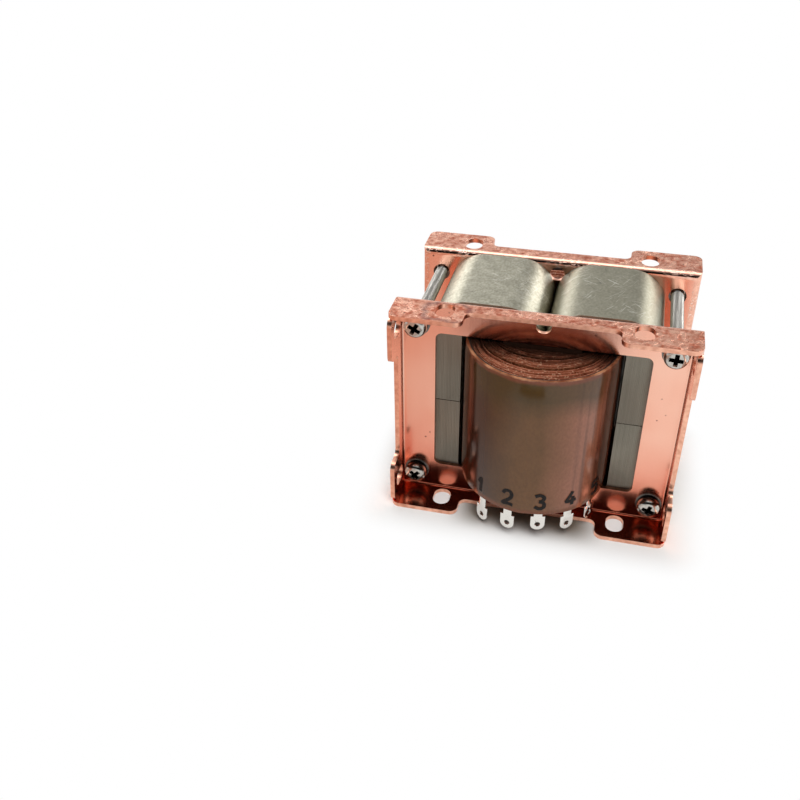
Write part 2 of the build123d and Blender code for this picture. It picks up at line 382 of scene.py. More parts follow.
def numbered_copies(curve: Wire, amount: Wire) -> tuple[Wire, Wire]:
    """Copies a curve and stores each copy's number on it.

    Args:
        curve: The curve.
        amount: How many copies there are.

    Returns:
        The copies, and the number from nought up that their points and faces carry.
    """
    tree = curve.tree
    copies = add_node(tree, "GeometryNodeDuplicateElements", {"domain": "SPLINE"}, {
        "Geometry": curve, "Amount": amount})
    kept = add_node(tree, "GeometryNodeStoreNamedAttribute", {"data_type": "FLOAT", "domain": "CURVE"}, {
        "Geometry": copies, "Name": "number", "Value": copies["Duplicate Index"]})
    return kept, add_node(tree, "GeometryNodeInputNamedAttribute", {"data_type": "FLOAT"}, {"Name": "number"})


def swept(path: Wire, width: Wire, height: Wire, rows: Any, capped: bool) -> Wire:
    """Sweeps an upright rectangle along level paths.

    Args:
        path: The paths.
        width: The rectangle's width.
        height: Its height.
        rows: How many more points each of its sides has.
        capped: Whether open ends are closed.

    Returns:
        The mesh.
    """
    tree = path.tree
    flat = add_node(tree, "GeometryNodeCurvePrimitiveQuadrilateral", {"mode": "RECTANGLE"}, {
        "Width": width, "Height": height})
    section = add_node(tree, "GeometryNodeSubdivideCurve", links={"Curve": flat, "Cuts": rows})
    level = add_node(tree, "GeometryNodeSetCurveNormal", {"mode": "Z_UP"}, {"Curve": path})
    return add_node(tree, "GeometryNodeCurveToMesh", links={
        "Curve": level, "Profile Curve": section, "Fill Caps": capped})


def toned(shape: Wire, name: str, number: Wire, seed: Wire) -> tuple[Wire, Wire]:
    """Stores a random tone on each strip or turn.

    Args:
        shape: The strips or turns.
        name: The name that the material reads the tone by.
        number: The number of each.
        seed: The seed.

    Returns:
        The shape that carries the tone, and the tone from nought to one.
    """
    tone = add_node(shape.tree, "FunctionNodeRandomValue", {"data_type": "FLOAT"}, {
        "ID": number, "Seed": seed})[1]
    store = {"data_type": "FLOAT", "domain": "POINT"}
    return add_node(shape.tree, "GeometryNodeStoreNamedAttribute", store, {
        "Geometry": shape, "Name": name, "Value": tone}), tone


def placed(shape: Wire, x: Any, y: Any, z: Any) -> Wire:
    """Sets the points of a shape at new places."""
    spot = add_node(shape.tree, "ShaderNodeCombineXYZ", links={"X": x, "Y": y, "Z": z})
    return add_node(shape.tree, "GeometryNodeSetPosition", links={"Geometry": shape, "Position": spot})


# Tools for meshes and pieces


def evaluated_mesh(piece: Piece) -> None:
    """Turns what a piece's modifiers make into its own plain mesh."""
    graph = bpy.context.evaluated_depsgraph_get()
    made = bpy.data.meshes.new_from_object(
        piece.evaluated_get(graph), preserve_all_data_layers=True, depsgraph=graph)
    piece.modifiers.clear()
    made.name = piece.name
    piece.data = made


def new_object(name: str, data: bpy.types.ID | None = None) -> Piece:
    """Adds an object at the origin, with an empty mesh if nothing else is given."""
    made = bpy.data.objects.new(name, data or bpy.data.meshes.new(name))
    bpy.context.scene.collection.objects.link(made)
    return made


def worked_object(name: str, work: bmesh.types.BMesh) -> Piece:
    """Adds an object at the origin with a worked mesh, which is used up."""
    mesh = bpy.data.meshes.new(name)
    work.to_mesh(mesh)
    work.free()
    return new_object(name, mesh)


def smooth(piece: Piece, angle: float) -> None:
    """Shades a piece's curved faces smooth and keeps edges over an angle, in degrees, sharp."""
    piece.data.shade_smooth()
    piece.data.set_sharp_from_angle(angle=math.radians(angle))


def mark_faces(piece: Piece, name: str, values: Iterable[bool]) -> None:
    """Stores nought or one for each face of a piece, for its material to read."""
    layer = piece.data.attributes.get(name) or piece.data.attributes.new(name, "FLOAT", "FACE")
    layer.data.foreach_set("value", [float(value) for value in values])


def bevelled(piece: Piece, width: float) -> None:
    """Breaks a piece's sharp edges, as deburring does, so that they catch the light.

    Args:
        piece: The object.
        width: The width of the broken edge, in millimetres.
    """
    sharp = 35.0
    edge = piece.modifiers.new("broken_edges", "BEVEL")
    edge.width = width * MM
    edge.segments = 2
    edge.limit_method = "ANGLE"
    edge.angle_limit = math.radians(sharp)
    edge.miter_outer = "MITER_ARC"
    evaluated_mesh(piece)
    smooth(piece, sharp)


def keep_flats(piece: Piece) -> None:
    """Lets large flat faces shade flat right up to the small faces of their broken edges."""
    weights = piece.modifiers.new("kept_flats", "WEIGHTED_NORMAL")
    weights.keep_sharp = True
    evaluated_mesh(piece)


def joined_copy(node: str, name: str) -> Piece:
    """Copies a CAD node as a joined surface with whole flat faces.

    Args:
        node: The CAD node.
        name: The new piece's name.

    Returns:
        The new piece, without a material.
    """
    work = bmesh.new()
    work.from_mesh(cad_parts[node].data)
    bmesh.ops.remove_doubles(work, verts=work.verts, dist=1e-6)
    bmesh.ops.dissolve_limit(work, angle_limit=math.radians(0.3), verts=work.verts, edges=work.edges)
    piece = worked_object(name, work)
    piece.data.materials.clear()
    return piece


def round_points(radius: float, y: float, around: int) -> list[Spot]:
    """Gives points on a circle about the Y axis, in millimetres."""
    turns = [2 * math.pi * step / around for step in range(around)]
    return [(radius * math.cos(turn), y, radius * math.sin(turn)) for turn in turns]


def lofted(rings: list[list[Spot]], capped: bool = True) -> bmesh.types.BMesh:
    """Joins rings of points into a closed surface whose faces point outwards.

    Args:
        rings: Rings with as many points each, in millimetres. One with the same point all
            round is a pole.
        capped: Whether the first and the last ring get a face each.

    Returns:
        The surface.
    """
    work = bmesh.new()
    loops = []
    for ring in rings:
        corners = {spot: work.verts.new(metres(spot)) for spot in dict.fromkeys(ring)}
        loops.append([corners[spot] for spot in ring])
    for low, high in zip(loops, loops[1:]):
        for step in range(len(low)):
            after = (step + 1) % len(low)
            work.faces.new(list(dict.fromkeys((low[step], low[after], high[after], high[step]))))
    if capped:
        work.faces.new(loops[0])
        work.faces.new(loops[-1])
    bmesh.ops.recalc_face_normals(work, faces=work.faces)
    return work


def lathe(profile: list[Span], around: int) -> bmesh.types.BMesh:
    """Turns a profile of radius and Y, in millimetres, that starts and ends alike or on the Y axis."""
    return lofted([round_points(radius, y, around) for radius, y in profile], capped=False)


def settle(piece: Piece, slot: str, *nodes: str) -> None:
    """Ties a finished piece to the body and hides the CAD nodes it stands for, if any."""
    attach(piece, BODY)
    if nodes:
        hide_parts(*nodes)
    log.info("%s: %d faces for %s", piece.name, len(piece.data.polygons), ", ".join(nodes) or "no node")


# Finishes


@dataclass(frozen=True)
class Finish:
    """A real material with the way that its surface was made."""

    label: str = "plain"

    def material(self) -> bpy.types.Material:
        """Makes the material the first time, and hands out the same one after that."""
        made = bpy.data.materials.get(self.label)
        if made is None:
            made = bpy.data.materials.new(self.label)
            made.use_nodes = True
            made.node_tree.nodes.clear()
            surface = self.shade(made.node_tree)
            add_node(made.node_tree, "ShaderNodeOutputMaterial", links={"Surface": surface})
        return made

    def shade(self, tree: Tree) -> Wire:
        """Adds the finish's own nodes.

        Args:
            tree: The material's tree.

        Returns:
            The shader.
        """
        raise NotImplementedError


@dataclass(frozen=True)
class CopperPlate(Finish):
    """Copper electroplated on folded sheet steel.

    The inner faces are bright and mirror the floor and each other, so corners turn deep red, and
    they are painted redder towards the lower flanges, a painted reflection of that red.
    The outer faces were handled: they are duller, cloudy, and crossed by fine scratches and
    by the wavy lines that rinsing water leaves. Cut edges are bright. The outside of the bends is
    painted lighter, with uneven runs of near-white flecks, as a painted highlight and glints.
    """

    label: str = "copper_plated_sheet_steel"
    bright: str = "#fac4ae"
    warm: str = "#f4b199"
    painted_red_reflection: str = "#e57e61"
    cloud_dark: str = "#b35c3e"
    cloud_light: str = "#ffc5aa"
    line_dark: str = "#a3563d"
    scored_light: str = "#ffd9c6"
    cut_edge: str = "#dd9f86"
    painted_glint: str = "#ffe3d4"
    stain: str = "#6f4a4c"
    speck: str = "#5a2a1c"
    warm_areas: Patches = Patches((16, 16, 24), (0.3, 0.7))
    clouds: Patches = Patches((1.7, 1.7, 1.7), (0.34, 0.66), 6.0, 11)
    drying_marks: tuple[WavyLines, ...] = (WavyLines(7.0, 0.012, 61), WavyLines(3.6, 0.016, 83))
    scores: tuple[Patches, ...] = (
        scratches(6, 35, 3, 0.4), scratches(5, -28, 40, 0.35), scratches(4, 70, 9, 0.35))
    scored_areas: Patches = Patches((11, 11, 11), (0.4, 0.62), shift=33)
    glint_runs: Patches = Patches((9, 9, 9), (0.46, 0.58), shift=73)
    glint_flecks: Patches = Patches((1.3, 0.5, 0.7), (0.54, 0.6), 5.0, 71)
    drawn_lines: Patches = Patches((0.5, 0.5, 14), (0.2, 0.8), 3.0, 5)
    speck_areas: Patches = Patches((14, 14, 14), (0.5, 0.55), 1.0, 29)
    speck_spacing: float = 3.2
    stain_edge: Patches = Patches((5, 5, 5), (0.2, 0.8), shift=17)
    stain_place: Spot = (-27.0, -23.5, 71.2)
    stain_size: Spot = (8.6, 6.4, 2.5)
    stain_rings: Span = (0.85, 1.42)
    painted_red_heights: Span = (34, 4)

    def shade(self, tree: Tree) -> Wire:
        """Adds the finish's own nodes and returns the shader."""
        outer, cut, bend = marks(tree, "outer_side", "cut_edge", "outer_bend")
        clouds = self.clouds.on(tree)
        wavy = strongest(lines.on(tree) for lines in self.drying_marks)
        scored = strongest(lines.on(tree) for lines in self.scores) * self.scored_areas.on(tree)
        # Painted glints: uneven runs of near-white flecks along the outside of the bends, each a small dent
        bend_glints = bend * self.glint_runs.on(tree) * self.glint_flecks.on(tree)
        # The drawn lines of the rolled strip can only just be felt on the bright side
        drawn = self.drawn_lines.on(tree)
        # Painted reflection: the inner faces are painted redder towards the lower flanges
        inner_colour = layered(
            self.warm_areas.on(tree).blend(self.bright, self.warm),
            (object_axes(tree)["Z"].slope(*metres(self.painted_red_heights), 0.9), self.painted_red_reflection))
        outer_colour = layered(
            clouds.blend(self.cloud_dark, self.cloud_light),
            (wavy * 0.85, self.line_dark),
            (scored * 0.7, self.scored_light))
        colour = layered(
            outer.blend(inner_colour, outer_colour),
            (self.stains(tree), self.stain),
            (self.specks(tree), self.speck),
            (cut, clouds.blend(self.cloud_light, self.cut_edge)),
            # Painted highlight: the outside of the bends is lighter, in the bright colour, with painted
            # glints
            (bend * 0.7, self.bright),
            (bend_glints * 0.8, self.painted_glint))
        rough = outer.between(drawn.between(0.16, 0.22), clouds.between(0.36, 0.25))
        rough = bend.between(cut.between(rough, 0.3), 0.17)
        height = outer.between(drawn * 0.01, clouds - (wavy + scored))
        height = bend.between(height, bend_glints * -1.0)
        return with_relief(height, 0.7, 0.06, {"Base Color": colour, "Metallic": 1.0, "Roughness": rough})

    def stains(self, tree: Tree) -> Wire:
        """Adds the tarnish that followed a drop of flux round the upper left slot at the front.

        Args:
            tree: The material's tree.

        Returns:
            A number that is highest in the stain.
        """
        centred = pattern_space(tree, self.stain_size, self.stain_place)
        distance = add_node(tree, "ShaderNodeVectorMath", {"operation": "LENGTH"}, {0: centred})
        bent = self.stain_edge.on(tree) * 0.5 + distance
        inner, outer = self.stain_rings
        band = (bent - inner).reckon("PINGPONG", 0.25).slope(0.05, 0.25, 0.62)
        return band * bent.reckon("LESS_THAN", outer) * bent.reckon("GREATER_THAN", inner)

    def specks(self, tree: Tree) -> Wire:
        """Adds small pits and rust spots, about 0.3 mm across and a few centimetres apart.

        Args:
            tree: The material's tree.

        Returns:
            A number that is above nought on a speck.
        """
        cells = add_node(tree, "ShaderNodeTexVoronoi", links={
            "Vector": pattern_space(tree, (self.speck_spacing,) * 3), "Scale": 1.0})
        return cells["Distance"].reckon("LESS_THAN", 0.09) * self.speck_areas.on(tree) * 0.8


@dataclass(frozen=True)
class CoreSteel(Finish):
    """Grain-oriented silicon steel strip, wound, cut and ground.

    The outside of the wound strip is satin grey-green with crossing scratches from handling and
    a few long hair cracks in the oxide. The strip edges at the front, the rear and the cut show
    one fine line for each turn.
    """

    label: str = "wound_silicon_steel_strip"
    outside: str = "#c0bcab"
    outside_dark: str = "#959282"
    right_core_shade: str = "#8b8878"
    grain: str = "#74715f"
    scratch: str = "#f6f4ec"
    crack: str = "#57544a"
    edge_dark: str = "#8f897d"
    edge_light: str = "#9f998c"
    clouds: Patches = Patches((3.5, 3.5, 3.5), (0.3, 0.7), 4.0, 7)
    grains: Patches = Patches((0.7, 1.0, 0.7), (0.35, 0.65), 4.0, 19)
    scores: tuple[Patches, ...] = (
        scratches(9, 52, 3, 0.2), scratches(7, -36, 20, 0.2),
        scratches(10, 12, 55, 0.15), scratches(13, 66, 90, 0.15))
    scored_areas: Patches = Patches((15, 15, 15), (0.42, 0.6), shift=14)
    cracks: WavyLines = WavyLines(22.0, 0.0035, 97)
    cracked_areas: Patches = Patches((12, 12, 12), (0.5, 0.56), 1.0, 101)
    edge_streaks: Patches = Patches((0.35, 4, 7), (0.25, 0.75), 3.0, 23)
    brushing: Patches = Patches((0.8, 1.3, 0.8), (0.2, 0.8), 5.0, 31, (0, 0, 30), 0.8)

    def shade(self, tree: Tree) -> Wire:
        """Adds the finish's own nodes and returns the shader."""
        tone, edge = marks(tree, "strip_tone", "strip_edge")
        crossed = strongest(lines.on(tree) for lines in self.scores) * self.scored_areas.on(tree)
        cracks = self.cracks.on(tree) * self.cracked_areas.on(tree)
        outside = layered(
            (self.clouds.on(tree) * 0.7).blend(self.outside, self.outside_dark),
            # Painted shade: the right core's outside is darker
            (object_axes(tree)["X"].slope(-MM, MM, 0.7), self.right_core_shade),
            (self.grains.on(tree) * 0.5, self.grain),
            (crossed * 0.65, self.scratch),
            (cracks * 0.8, self.crack))
        mixed = self.edge_streaks.on(tree) * 0.45 + tone * 0.5
        colour = edge.blend(outside, mixed.blend(self.edge_dark, self.edge_light))
        fine = self.brushing.on(tree)
        rough = edge.between(fine.between(0.3, 0.38), 0.52)
        # Rolled along the strip, so a highlight spreads across it, along Y
        rolled = add_node(tree, "ShaderNodeTangent", {"direction_type": "RADIAL", "axis": "Y"})
        return with_relief(fine - (crossed + cracks), 0.6, 0.035, {
            "Base Color": colour, "Metallic": 1.0, "Roughness": rough,
            "Anisotropic": 0.85, "Anisotropic Rotation": 0.25, "Tangent": rolled})


@dataclass(frozen=True)
class FilmWrap(Finish):
    """Brown polyester film in two turns over varnished paper, glossy and a little creased.

    Where paper lies behind it, it looks dark; its free margins at both ends let light through
    and look orange-brown. It is painted darker on the left as shade, lighter and warmer on the
    right as a sheen, and darker in a band near the top as a reflection. The varnish under it
    makes soft upright streaks. Heights are from the middle of the coil.
    """

    label: str = "brown_polyester_film"
    backed: str = "#5c3d1d"
    backed_pale: str = "#684525"
    painted_shade_left: str = "#2c130a"
    painted_sheen_right: str = "#96604a"
    painted_reflection_top: str = "#40300f"
    streak: str = "#2b130b"
    flank_varnish: str = "#5e2e1b"
    margin: str = "#6f3b26"
    low_margin: str = "#703d20"
    lip: str = "#b98360"
    half_height: float = 24.35
    margin_height: float = 1.3
    lip_height: float = 0.45
    wander: Patches = Patches((9, 9, 14), (0.1, 0.9), 3.0, 51)
    pale_areas: Patches = Patches((11, 11, 16), (0.3, 0.7), 3.0, 2)
    upright_streaks: Patches = Patches((1.5, 3.0, 60), (0.5, 0.72), shift=13)
    margin_waves: Patches = Patches((5, 5, 40), (0.2, 0.8), 3.0, 9)
    torn_fibres: Patches = Patches((1.6, 1.6, 1.6), (0.2, 0.8), 3.0, 87)
    lip_areas: Patches = Patches((4.5, 4.5, 4.5), (0.35, 0.62), 4.0, 91)
    grains: Patches = Patches((0.7, 0.7, 1.1), (0.35, 0.65), 4.0, 63)
    creases: Patches = Patches((0.7, 0.7, 6), (0.55, 0.75), 2.0, 43, (12, 0, 0))
    ripples: Patches = Patches((6, 6, 30), (0.1, 0.9), shift=37)

    def shade(self, tree: Tree) -> Wire:
        """Adds the finish's own nodes and returns the shader."""
        axes = object_axes(tree)
        across = axes["X"] / MM
        height = (axes["Z"] - MIDDLE * MM) / MM
        wander = self.wander.on(tree)
        wandered = wander * 6.0 + across
        waved = self.margin_waves.on(tree) * 0.9 + height
        torn = self.torn_fibres.on(tree) * 0.5 + height
        grain = self.grains.on(tree)
        inner_edge = self.half_height - self.margin_height
        torn_edge = torn.slope(self.half_height - self.lip_height + 0.2, self.half_height + 0.1)
        colour = layered(
            self.pale_areas.on(tree).blend(self.backed, self.backed_pale),
            # Painted shade on the left and a painted sheen on the right of the film
            (wandered.slope(0.0, -14.0, 0.95), self.painted_shade_left),
            (wandered.slope(6.0, 18.0, 0.95), self.painted_sheen_right),
            # Painted reflection: a darker band near the top of the film
            ((wander * 5.0 + height).slope(13.0, 20.0, 0.8), self.painted_reflection_top),
            ((wander * 2.0 + abs(across)).slope(18.5, 22.0, 0.85), self.flank_varnish),
            (self.upright_streaks.on(tree) * abs(across).slope(11.5, 19.0, 0.8), self.streak),
            (waved.slope(inner_edge, inner_edge + 0.9), self.margin),
            (waved.slope(1.4 - inner_edge, 0.2 - inner_edge), self.low_margin),
            (torn_edge * self.lip_areas.on(tree), self.lip),
            (grain * 0.16, self.streak))
        relief = self.creases.on(tree) * across.slope(16.0, 20.0, 0.3) + self.ripples.on(tree)
        return with_relief(grain * 0.02 + relief, 0.35, 0.16, {
            "Base Color": colour, "Roughness": 0.16, "IOR": 1.46})


@dataclass(frozen=True)
class WoundPaper(Finish):
    """Layer paper and enamelled wire soaked in varnish.

    Each turn has its own shade, the paper edges are pale where they tore, and the varnish
    leaves bright specks between them. Towards the core legs the turns are painted near black, as shade.
    """

    label: str = "varnished_layer_paper"
    dark: str = "#663220"
    light: str = "#ad6a4f"
    fleck: str = "#dcae8f"
    painted_inner_shade: str = "#170b07"
    inner_shade_reach: Span = (28.0, 20.0)
    tears: Patches = Patches((2.2, 1.2, 2.2), (0.3, 0.7), 4.0, 6)
    varnish_specks: Patches = Patches((0.75, 0.45, 0.75), (0.57, 0.66), 3.0, 19)

    def shade(self, tree: Tree) -> Wire:
        """Adds the finish's own nodes and returns the shader."""
        tone, = marks(tree, "turn_tone")
        torn = self.tears.on(tree)
        specks = self.varnish_specks.on(tree)
        # Painted shade: the turns darken to near black towards the core legs
        reach = torn * (2.0 * MM) + abs(object_axes(tree)["Y"])
        colour = layered(
            (torn * 0.5 + tone * 0.6).blend(self.dark, self.light),
            (specks * 0.7, self.fleck),
            (reach.slope(*metres(self.inner_shade_reach), 0.93), self.painted_inner_shade))
        return with_relief(specks, 0.5, 0.08, {
            "Base Color": colour, "Roughness": torn.between(0.22, 0.55), "IOR": 1.36})


@dataclass(frozen=True)
class PlainBoard(Finish):
    """Pressboard or insulation paper: fibrous, matt and a little uneven in colour."""

    label: str = "pressboard"
    base: str = "#150b07"
    fibre: str = "#2a180f"
    fibre_length: float = 1.6
    roughness: float = 0.9
    ior: float = 1.3

    def shade(self, tree: Tree) -> Wire:
        """Adds the finish's own nodes and returns the shader."""
        fibres = Patches((self.fibre_length, self.fibre_length, 0.3), (0.3, 0.7), 4.0, 4).on(tree)
        return with_relief(fibres, 0.3, 0.03, {
            "Base Color": fibres.blend(self.base, self.fibre), "Roughness": self.roughness, "IOR": self.ior})


@dataclass(frozen=True)
class PlatedMetal(Finish):
    """A plated or tinned small part: satin, with faint tool marks, dull spots and its recess painted near
    black as shade.

    Between the frames lies the rolled thread, which is duller than the heads.
    """

    label: str = "nickel_plated_steel"
    base: str = "#c9c6bf"
    dull: str = "#b0ada7"
    low_roughness: float = 0.13
    high_roughness: float = 0.24
    mark_size: Spot = (0.7, 5.0, 0.7)
    recess_shade: str = "#0f0d0c"
    recess_shade_roughness: float = 0.7
    thread_roughness: float = 0.42
    thread_reach: float = 16.0

    def shade(self, tree: Tree) -> Wire:
        """Adds the finish's own nodes and returns the shader."""
        worn = Patches(self.mark_size, (0.3, 0.7), 3.0, 8).on(tree)
        # Painted shade: the recess of a screw is painted near black
        deep, = marks(tree, "recess")
        thread = abs(object_axes(tree)["Y"]).reckon("LESS_THAN", self.thread_reach * MM)
        rough = deep.between(worn.between(self.low_roughness, self.high_roughness), self.recess_shade_roughness)
        return with_relief(worn, 0.25, 0.01, {
            "Base Color": deep.slope(0.02, 0.3).blend(worn.blend(self.base, self.dull), self.recess_shade),
            "Metallic": 1.0, "Roughness": thread.between(rough, self.thread_roughness)})


@dataclass(frozen=True)
class PenInk(Finish):
    """Black felt pen ink on film: it beads, so strokes are thin in places."""

    label: str = "black_pen_ink"
    dense: str = "#0d0b0a"
    thin: str = "#2a1a13"
    beads: Patches = Patches((0.5, 0.5, 0.5), (0.45, 0.7), 3.0, 3)

    def shade(self, tree: Tree) -> Wire:
        """Adds the finish's own nodes and returns the shader."""
        return add_node(tree, "ShaderNodeBsdfPrincipled", links={
            "Base Color": self.beads.on(tree).blend(self.dense, self.thin), "Roughness": 0.5, "IOR": 1.3})


@dataclass(frozen=True)
class PaperFloor(Finish):
    """White paper under the object: lit near it, where it holds the shadow, with a painted shadow under the
    coil, and evenly white far off.

    What metal mirrors of it is brighter to the right, warmer to the left, as over a
    copper-coloured card, and dark brown far ahead of the coil, over which the plate looks.
    Each pair of places, in metres, is where a change starts and where it ends.
    """

    label: str = "white_paper_floor"
    white: str = "#f4f3f1"
    warm_card: str = "#e0b5a3"
    brown_card: str = "#5f3730"
    painted_shadow: str = "#75695b"
    footprint: Span = (43.5, 29.4)
    shadow_reach: float = 13.5
    warm_card_edge: Span = (-0.03, -0.07)
    brown_card_depth: tuple[Span, Span] = ((-0.114, -0.122), (-0.152, -0.146))
    brown_card_width: tuple[Span, Span] = ((-0.048, -0.042), (0.026, 0.021))
    painted_shadow_depth: Span = (0.037, 0.025)
    painted_shadow_width: Span = (0.027, 0.014)
    bright_edge: Span = (-0.02, 0.08)

    def shade(self, tree: Tree) -> Wire:
        """Adds the finish's own nodes and returns the shader."""
        axes = object_axes(tree)
        x, y = axes["X"], axes["Y"]
        rays = add_node(tree, "ShaderNodeLightPath")
        glossy = rays["Is Glossy Ray"]
        ahead = y.eased(*self.brown_card_depth[0]) * y.eased(*self.brown_card_depth[1])
        aside = x.eased(*self.brown_card_width[0]) * x.eased(*self.brown_card_width[1])
        mirrored = layered(
            x.slope(*self.warm_card_edge).blend(self.white, self.warm_card),
            (ahead * aside, self.brown_card))
        # Painted shadow: the paper is darker under the coil
        under = abs(y).eased(*self.painted_shadow_depth) * abs(x).eased(*self.painted_shadow_width)
        paper = add_node(tree, "ShaderNodeBsdfDiffuse", links={
            "Color": glossy.blend(under.blend(self.white, self.painted_shadow), mirrored)})
        glow = add_node(tree, "ShaderNodeEmission", links={
            "Color": glossy.blend("#ffffff", mirrored),
            "Strength": glossy * x.slope(*self.bright_edge, 0.15) + 1.0})
        beyond = [(abs(place) - half * MM).reckon("MAXIMUM", 0.0)
                  for place, half in zip((x, y), self.footprint)]
        distance = add_node(tree, "ShaderNodeVectorMath", {"operation": "LENGTH"}, {
            0: add_node(tree, "ShaderNodeCombineXYZ", links={"X": beyond[0], "Y": beyond[1]})})
        seen = strongest((rays["Is Camera Ray"], glossy, rays["Is Transmission Ray"]))
        return add_node(tree, "ShaderNodeMixShader", links={
            0: seen * distance.eased(0.0, self.shadow_reach * MM), 1: paper, 2: glow})


NICKEL = PlatedMetal()
ZINC = PlatedMetal("dull_zinc_plated_steel", "#8d8a85", "#6a6763", 0.24, 0.4, (0.9, 0.9, 0.9))
TINNED_BRASS = PlatedMetal("tinned_brass", "#cdc4b5", "#a59a89", 0.25, 0.42, (0.8, 0.8, 1.4))
BLACKED_SPRING_STEEL = PlatedMetal("blacked_spring_steel", "#34312f", "#211f1e", 0.2, 0.36, (0.7, 0.7, 0.7))
BLACK_PAPER = PlainBoard("black_insulation_paper", "#14100e", "#2a211c", 1.4, 0.6, 1.45)
PRESSBOARD = PlainBoard()
GAP_PAPER = PlainBoard("thin_gap_paper", "#191310", "#2b211b", 0.8, 0.75)
INTERLAYER = WoundPaper("varnished_interlayer_paper", "#2c130c", "#63351f", "#9c6a4c")


# Sub-assemblies


def dress_node(node: str, name: str, slot: str, finish: Finish, deburr: float = 0.0) -> None:
    """Dresses a CAD node's own solid.

    Args:
        node: The CAD node.
        name: The piece's name.
        slot: Its material slot; not used.
        finish: Its finish.
        deburr: The width of its broken edges, in millimetres, or nought for none.
    """
    piece = joined_copy(node, name)
    if deburr:
        bevelled(piece, deburr)
    piece.data.materials.append(finish.material())
    settle(piece, slot, node)


@dataclass
class SheetFrames:
    """The two folded sheet frames, with broken edges and marked surfaces."""

    half_width: float = 43.5
    height: float = 71.2
    sheet: float = 1.4
    plate_back: float = 16.3
    bend_outer_radius: float = 2.1
    deburr: float = 0.14
    skin_share: float = 0.2
    least_lean: float = 0.4
    finish: Finish = CopperPlate()

    def make(self) -> None:
        """Makes both frames."""
        for facing in Facing:
            name = facing.name.lower()
            piece = joined_copy(f"{name}_frame", f"{name}_sheet_frame")
            bevelled(piece, self.deburr)
            keep_flats(piece)
            self.mark(piece)
            piece.data.materials.append(self.finish.material())
            settle(piece, "copper_plate", f"{name}_frame")

    def mark(self, piece: Piece) -> None:
        """Marks each face of a frame as outer side, cut edge, bend or none of them."""
        kinds = [self.kind_of(face.center, face.normal) for face in piece.data.polygons]
        mark_faces(piece, "outer_side", (kind in (SheetFace.OUTER, SheetFace.BEND) for kind in kinds))
        mark_faces(piece, "cut_edge", (kind is SheetFace.CUT for kind in kinds))
        mark_faces(piece, "outer_bend", (kind is SheetFace.BEND for kind in kinds))

    def kind_of(self, centre: Vector, normal: Vector) -> SheetFace:
        """Tells which surface of the sheet a face lies on.

        Args:
            centre: The middle of the face, in metres.
            normal: The way the face looks.

        Returns:
            The surface.
        """
        x, y, z = (value / MM for value in centre)
        depths = {
            (math.copysign(1, x), 0, 0): self.half_width - abs(x),
            (0, -math.copysign(1, y), 0): abs(y) - self.plate_back,
            (0, 0, math.copysign(1, z - self.height / 2)): min(z, self.height - z),
        }
        near = [way for way, depth in depths.items() if depth < self.bend_outer_radius]
        if len(near) > 1:
            outward = sum((Vector(way) for way in near), Vector()).normalized()
            leaning = normal.dot(outward)
            if abs(leaning) > self.least_lean:
                return SheetFace.BEND if leaning > 0 else SheetFace.INNER
        through = min(depths.values()) / self.sheet
        if through < self.skin_share:
            return SheetFace.INNER if abs(normal.y) > 0.9 else SheetFace.OUTER
        return SheetFace.INNER if through > 1 - self.skin_share else SheetFace.CUT


